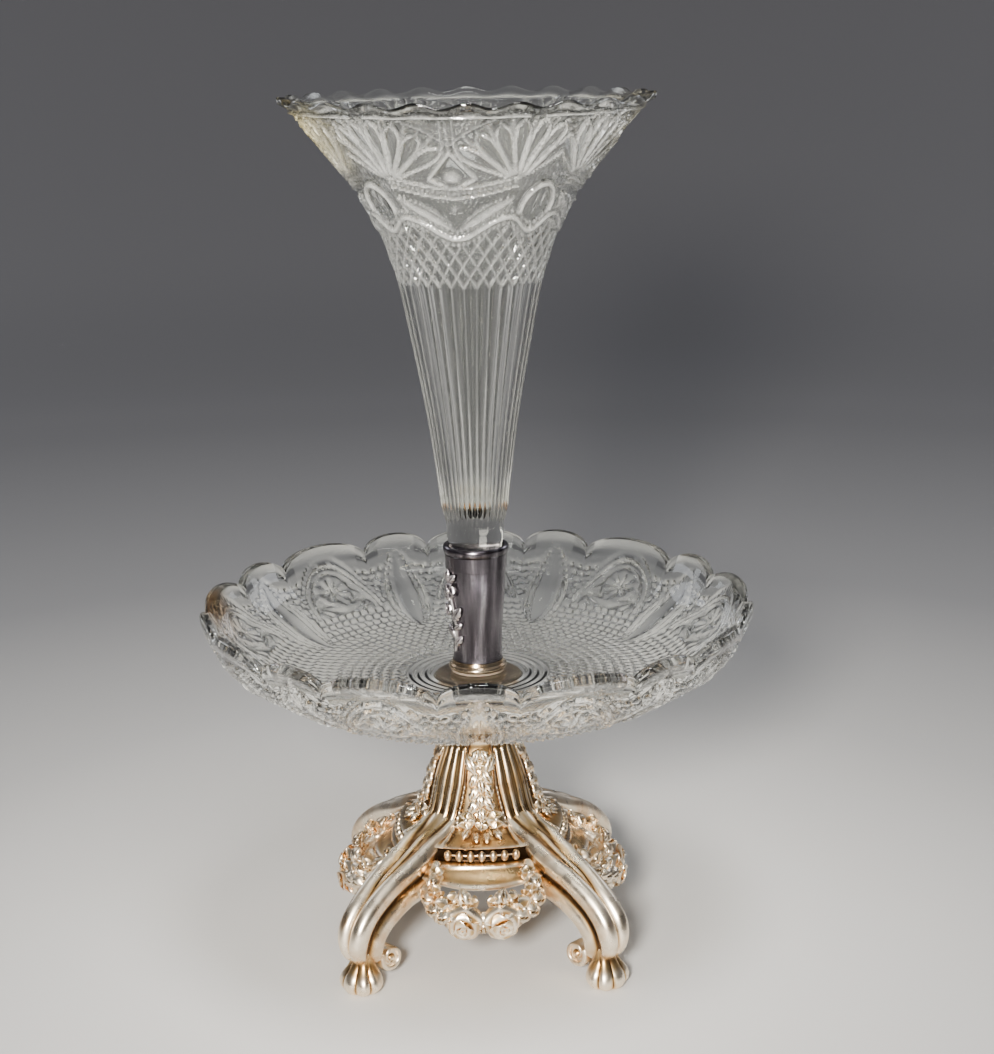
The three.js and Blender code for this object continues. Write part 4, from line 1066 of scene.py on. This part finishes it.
def vase_relief(angle, radius, z, run, at):
    """Pattern on the outside of the vase, from the flutes up to the band under the rim. x is the way round
    from the middle of a motif, and at() turns a height to its run length."""
    if z < flute_foot:
        return 0.0
    share = angle * flutes / 360
    if z < flute_top:
        within = wrapped(share, 1)
        return 1.7 * ease(z, flute_foot, flute_foot + 3) * (4 * within * within - 0.45)
    turn = wrapped(angle - motif_turn, 90)
    scale = math.radians(1) * radius
    x, side = turn * scale, abs(turn) * scale
    gap = run - at(swag_line(turn))
    if gap < -4.2:
        rise = (run - at(flute_top)) / lattice_step
        cut = min(abs(wrapped(share + sign * rise - 0.5, 1)) * 10 * scale for sign in (-1, 1))
        return 2.0 * bump(cut, 1.5) + 0.6 * bump(cut - 3.0, 2.0) - 0.75
    if gap < 4.2:
        rows = 1.4 * max(bead_row(x, gap - 3.3, 2.2, 1.1), bead_row(x, gap + 3.3, 2.2, 1.1))
        return max(2.1 * bump(gap, 2.3), rows)
    across = (abs(turn) - 45) * scale
    medal = math.hypot(across / medal_half, (run - at(medal_z)) / medal_tall)
    if medal < 1.3:
        bars = 0.9 * abs(math.cos(math.pi * across / 3.4)) * bump(medal, 0.95)
        return max(2.2 * bump((medal - 1) * 8.5, 1.7), bars - 0.4 * bump(medal, 0.9))
    if z < 358:
        leaf = almond(side, run, (leaf_side, at(leaf_foot)), (leaf_end, at(leaf_tip)), leaf_half, 0.65)
        if leaf > 0:
            return max(1.8 * bump(leaf, 1.1), 0.45 * leaf)
    arch = (run - at(mix(358.3, fan_z, ramp(abs(turn), 0, fan_turn) ** 1.6))) * 0.95
    if abs(arch) < 3.5 and abs(turn) < fan_turn + 2:
        lines = 1.7 * max(bump(arch - 2.3, 1.2), bump(arch + 2.3, 1.2))
        return max(lines, 1.4 * bead_row(x, arch, 2.2, 1.1))
    if z < 358 and arch < 0:
        up = run - at(351.4)
        floret = math.hypot(x, up)
        if floret < 4.4:
            return 1.2 * abs(math.cos(3 * math.atan2(x, up))) * bump(floret, 4.6) + 0.8 * bump(floret, 1.2)
        return 0.6 * bead_row(x + 1.0 * (round(run / 2.2) % 2), wrapped(run, 2.2), 2.2, 1.0)
    return fan_relief(x, side, scale, z, run, at)


def trumpet_vase():
    outer = evenly(vase_outer[:2], 1.0)[:-1]
    flare = curve_points(vase_outer[1:], 24)
    fluted = [p for p in flare if p[1] < flute_top - 1]
    figured = [p for p in flare if p[1] >= flute_top - 1]
    outer += evenly(fluted, 7.0)[:-1] + evenly([fluted[-1]] + figured, 0.94)
    peg = [(0, 154.0), (9.0, 154.0), (9.7, 154.5), (12.1, vase_foot), (12.2, vase_foot + 0.8),
           (13.1, vase_foot + 5.2)]
    inner = inner_wall(flare, lambda share, z: mix(vase_glass, vase_rim_glass, ramp(z, 320, 396)))
    inner = [p for p in inner if 214 < p[1] < 396.4]
    inner = [(0, 208.0), (4.5, 208.4), (7.6, 210.6)] + evenly(inner, 14.0)
    outer[-1:] = [(82.7, 395.6), (82.6, 396.3), (81.9, 396.5)]
    start = length_of(peg + outer[:1])
    runs = start + np.concatenate([[0], np.cumsum([math.dist(a, b) for a, b in zip(outer, outer[1:])])])
    heights = [z for _, z in outer]

    def at(z):
        return float(np.interp(z, heights, runs))

    bm = bmesh.new()
    lie = spun(bm, peg + outer + inner[::-1], 648, 4)
    shape_skin(bm, lie, lambda angle, radius, z, run:
               vase_relief(angle, radius, z, run, at) if start < run < runs[-1] - 2 else 0.0, (0.45, 1.8))
    for vert in bm.verts:
        radius, angle = polar(vert.co)
        if vert.co.z > 388 and radius > 1:
            dip = (1 - math.cos(math.radians(rim_waves * angle))) / 2 * ramp(vert.co.z, 389.5, 395.9)
            widened(vert, (radius - dip) / radius, -rim_wave_depth * dip)
    all_round(bm, 4)
    piece = finished(bm, "pressed_trumpet_vase", VASE_GLASS, "vase", ["trumpet_vase"], 80)
    stained(piece, lambda x, y, z: 0.8 * bump(math.dist((x, y, z), (-74, -16, 385)), 46)
            + 0.55 * bump(math.dist((x, y, z), (74, 6, 388)), 46))


def water_residue():
    """The dried brown ring that flower water leaves in the bottom of the tube."""
    bm = bmesh.new()
    spun(bm, [(3.0, 208.45), (4.6, 208.65), (6.6, 210.0), (6.3, 210.1), (4.4, 208.8), (3.0, 208.6),
              (3.0, 208.45)], 72)
    finished(bm, "residue_ring", RESIDUE, "vase", [])


for build in (column_casting, bead_strips, drop_garlands, swags, legs, seat_collar, sleeve_foot, sleeve_tube,
              sleeve_lip, flower_spray, glass_bowl, trumpet_vase, water_residue):
    build()

for node, material in {"tie_rod": STEEL, "bridge_washer": BRASS, "rod_nut": BRASS, "lower_washer": CORK,
                       "upper_washer": CORK, "peg_cork": CORK}.items():
    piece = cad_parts[node]
    piece.data.materials.clear()
    piece.data.materials.append(material)


# Stage: a pale floor, soft lights, and the photograph's camera, in metres

def stage_floor():
    """A round pale floor that curves up into a grey wall, far enough out to leave room for every view. Its
    colour is palest under the piece and darker outwards, a painted pool of light.
    """
    bm = bmesh.new()
    rise = curve_points([(1.3, 0), (1.9, 0.08), (2.4, 0.45), (2.7, 1.1), (2.8, 2.2)], 8)
    spun(bm, [(0, 0), (0.4, 0), (0.9, 0)] + rise, 96)
    bmesh.ops.recalc_face_normals(bm, faces=bm.faces)
    material, add, where = new_material("matt pale paper")
    distance = add("VectorMath", {"operation": "LENGTH", 0: where}, "Value")
    share = add("Math", {"operation": "DIVIDE", 0: distance, 1: 2.5})
    # Palest near the middle and darker outwards across the floor: a painted pool of light. The wall beyond is
    # a nearly even grey.
    stops = [(0.06, "#d0cecb"), (0.14, "#abaaa9"), (0.26, "#858587"), (0.5, "#707073"), (1.0, "#67676b")]
    colour = add("ValToRGB", {"stops": stops, "Fac": share})
    as_object(bm, "floor", shaded(material, {"Roughness": 0.75, "Base Color": colour}))


def soft_light(name, place, size, power, colour="#ffffff"):
    """A round area light, aimed at the middle of the piece."""
    data = bpy.data.lights.new(name, "AREA")
    data.shape = "ELLIPSE"
    data.size = data.size_y = size
    data.energy = power
    data.color = hex_colour(colour)[:3]
    light = bpy.data.objects.new(name, data)
    light.location = place
    light.rotation_euler = (Vector((0, 0, 0.2)) - Vector(place)).to_track_quat("-Z", "Y").to_euler()
    bpy.context.scene.collection.objects.link(light)


stage_floor()
world = bpy.data.worlds.new("studio")
world.use_nodes = True
fill(world.node_tree.nodes["Background"], {"Color": hex_colour("#eeeef0"), "Strength": 0.32})
bpy.context.scene.world = world
soft_light("front softbox", (-0.2, -1.25, 0.62), 0.22, 50, "#fffaf2")
soft_light("top softbox", (0.1, -0.3, 1.35), 0.4, 12)
soft_light("left rim", (-1.8, 1.8, 1.3), 1.2, 10, "#f2f6ff")
soft_light("right rim", (1.9, 1.7, 1.3), 1.2, 10, "#f2f6ff")

# The photograph is 994 by 1054 pixels; the camera was fitted to the bowl, the vase and the feet in it.
photo_height_px = 1054
focal_px = 2033.8
camera_place = (0, -0.90196, 0.43501)
tilt_down, turn_right, roll = math.radians(14.489), math.radians(0.632), math.radians(-1.002)

lens = bpy.data.cameras.new("photo camera")
lens.lens = lens.sensor_width * focal_px / photo_height_px
lens.clip_start = 0.01
camera = bpy.data.objects.new("photo camera", lens)
camera.matrix_world = (Matrix.Translation(camera_place) @ Matrix.Rotation(-turn_right, 4, "Z")
                       @ Matrix.Rotation(math.pi / 2 - tilt_down, 4, "X") @ Matrix.Rotation(roll, 4, "Z"))
bpy.context.scene.collection.objects.link(camera)
bpy.context.scene.camera = camera
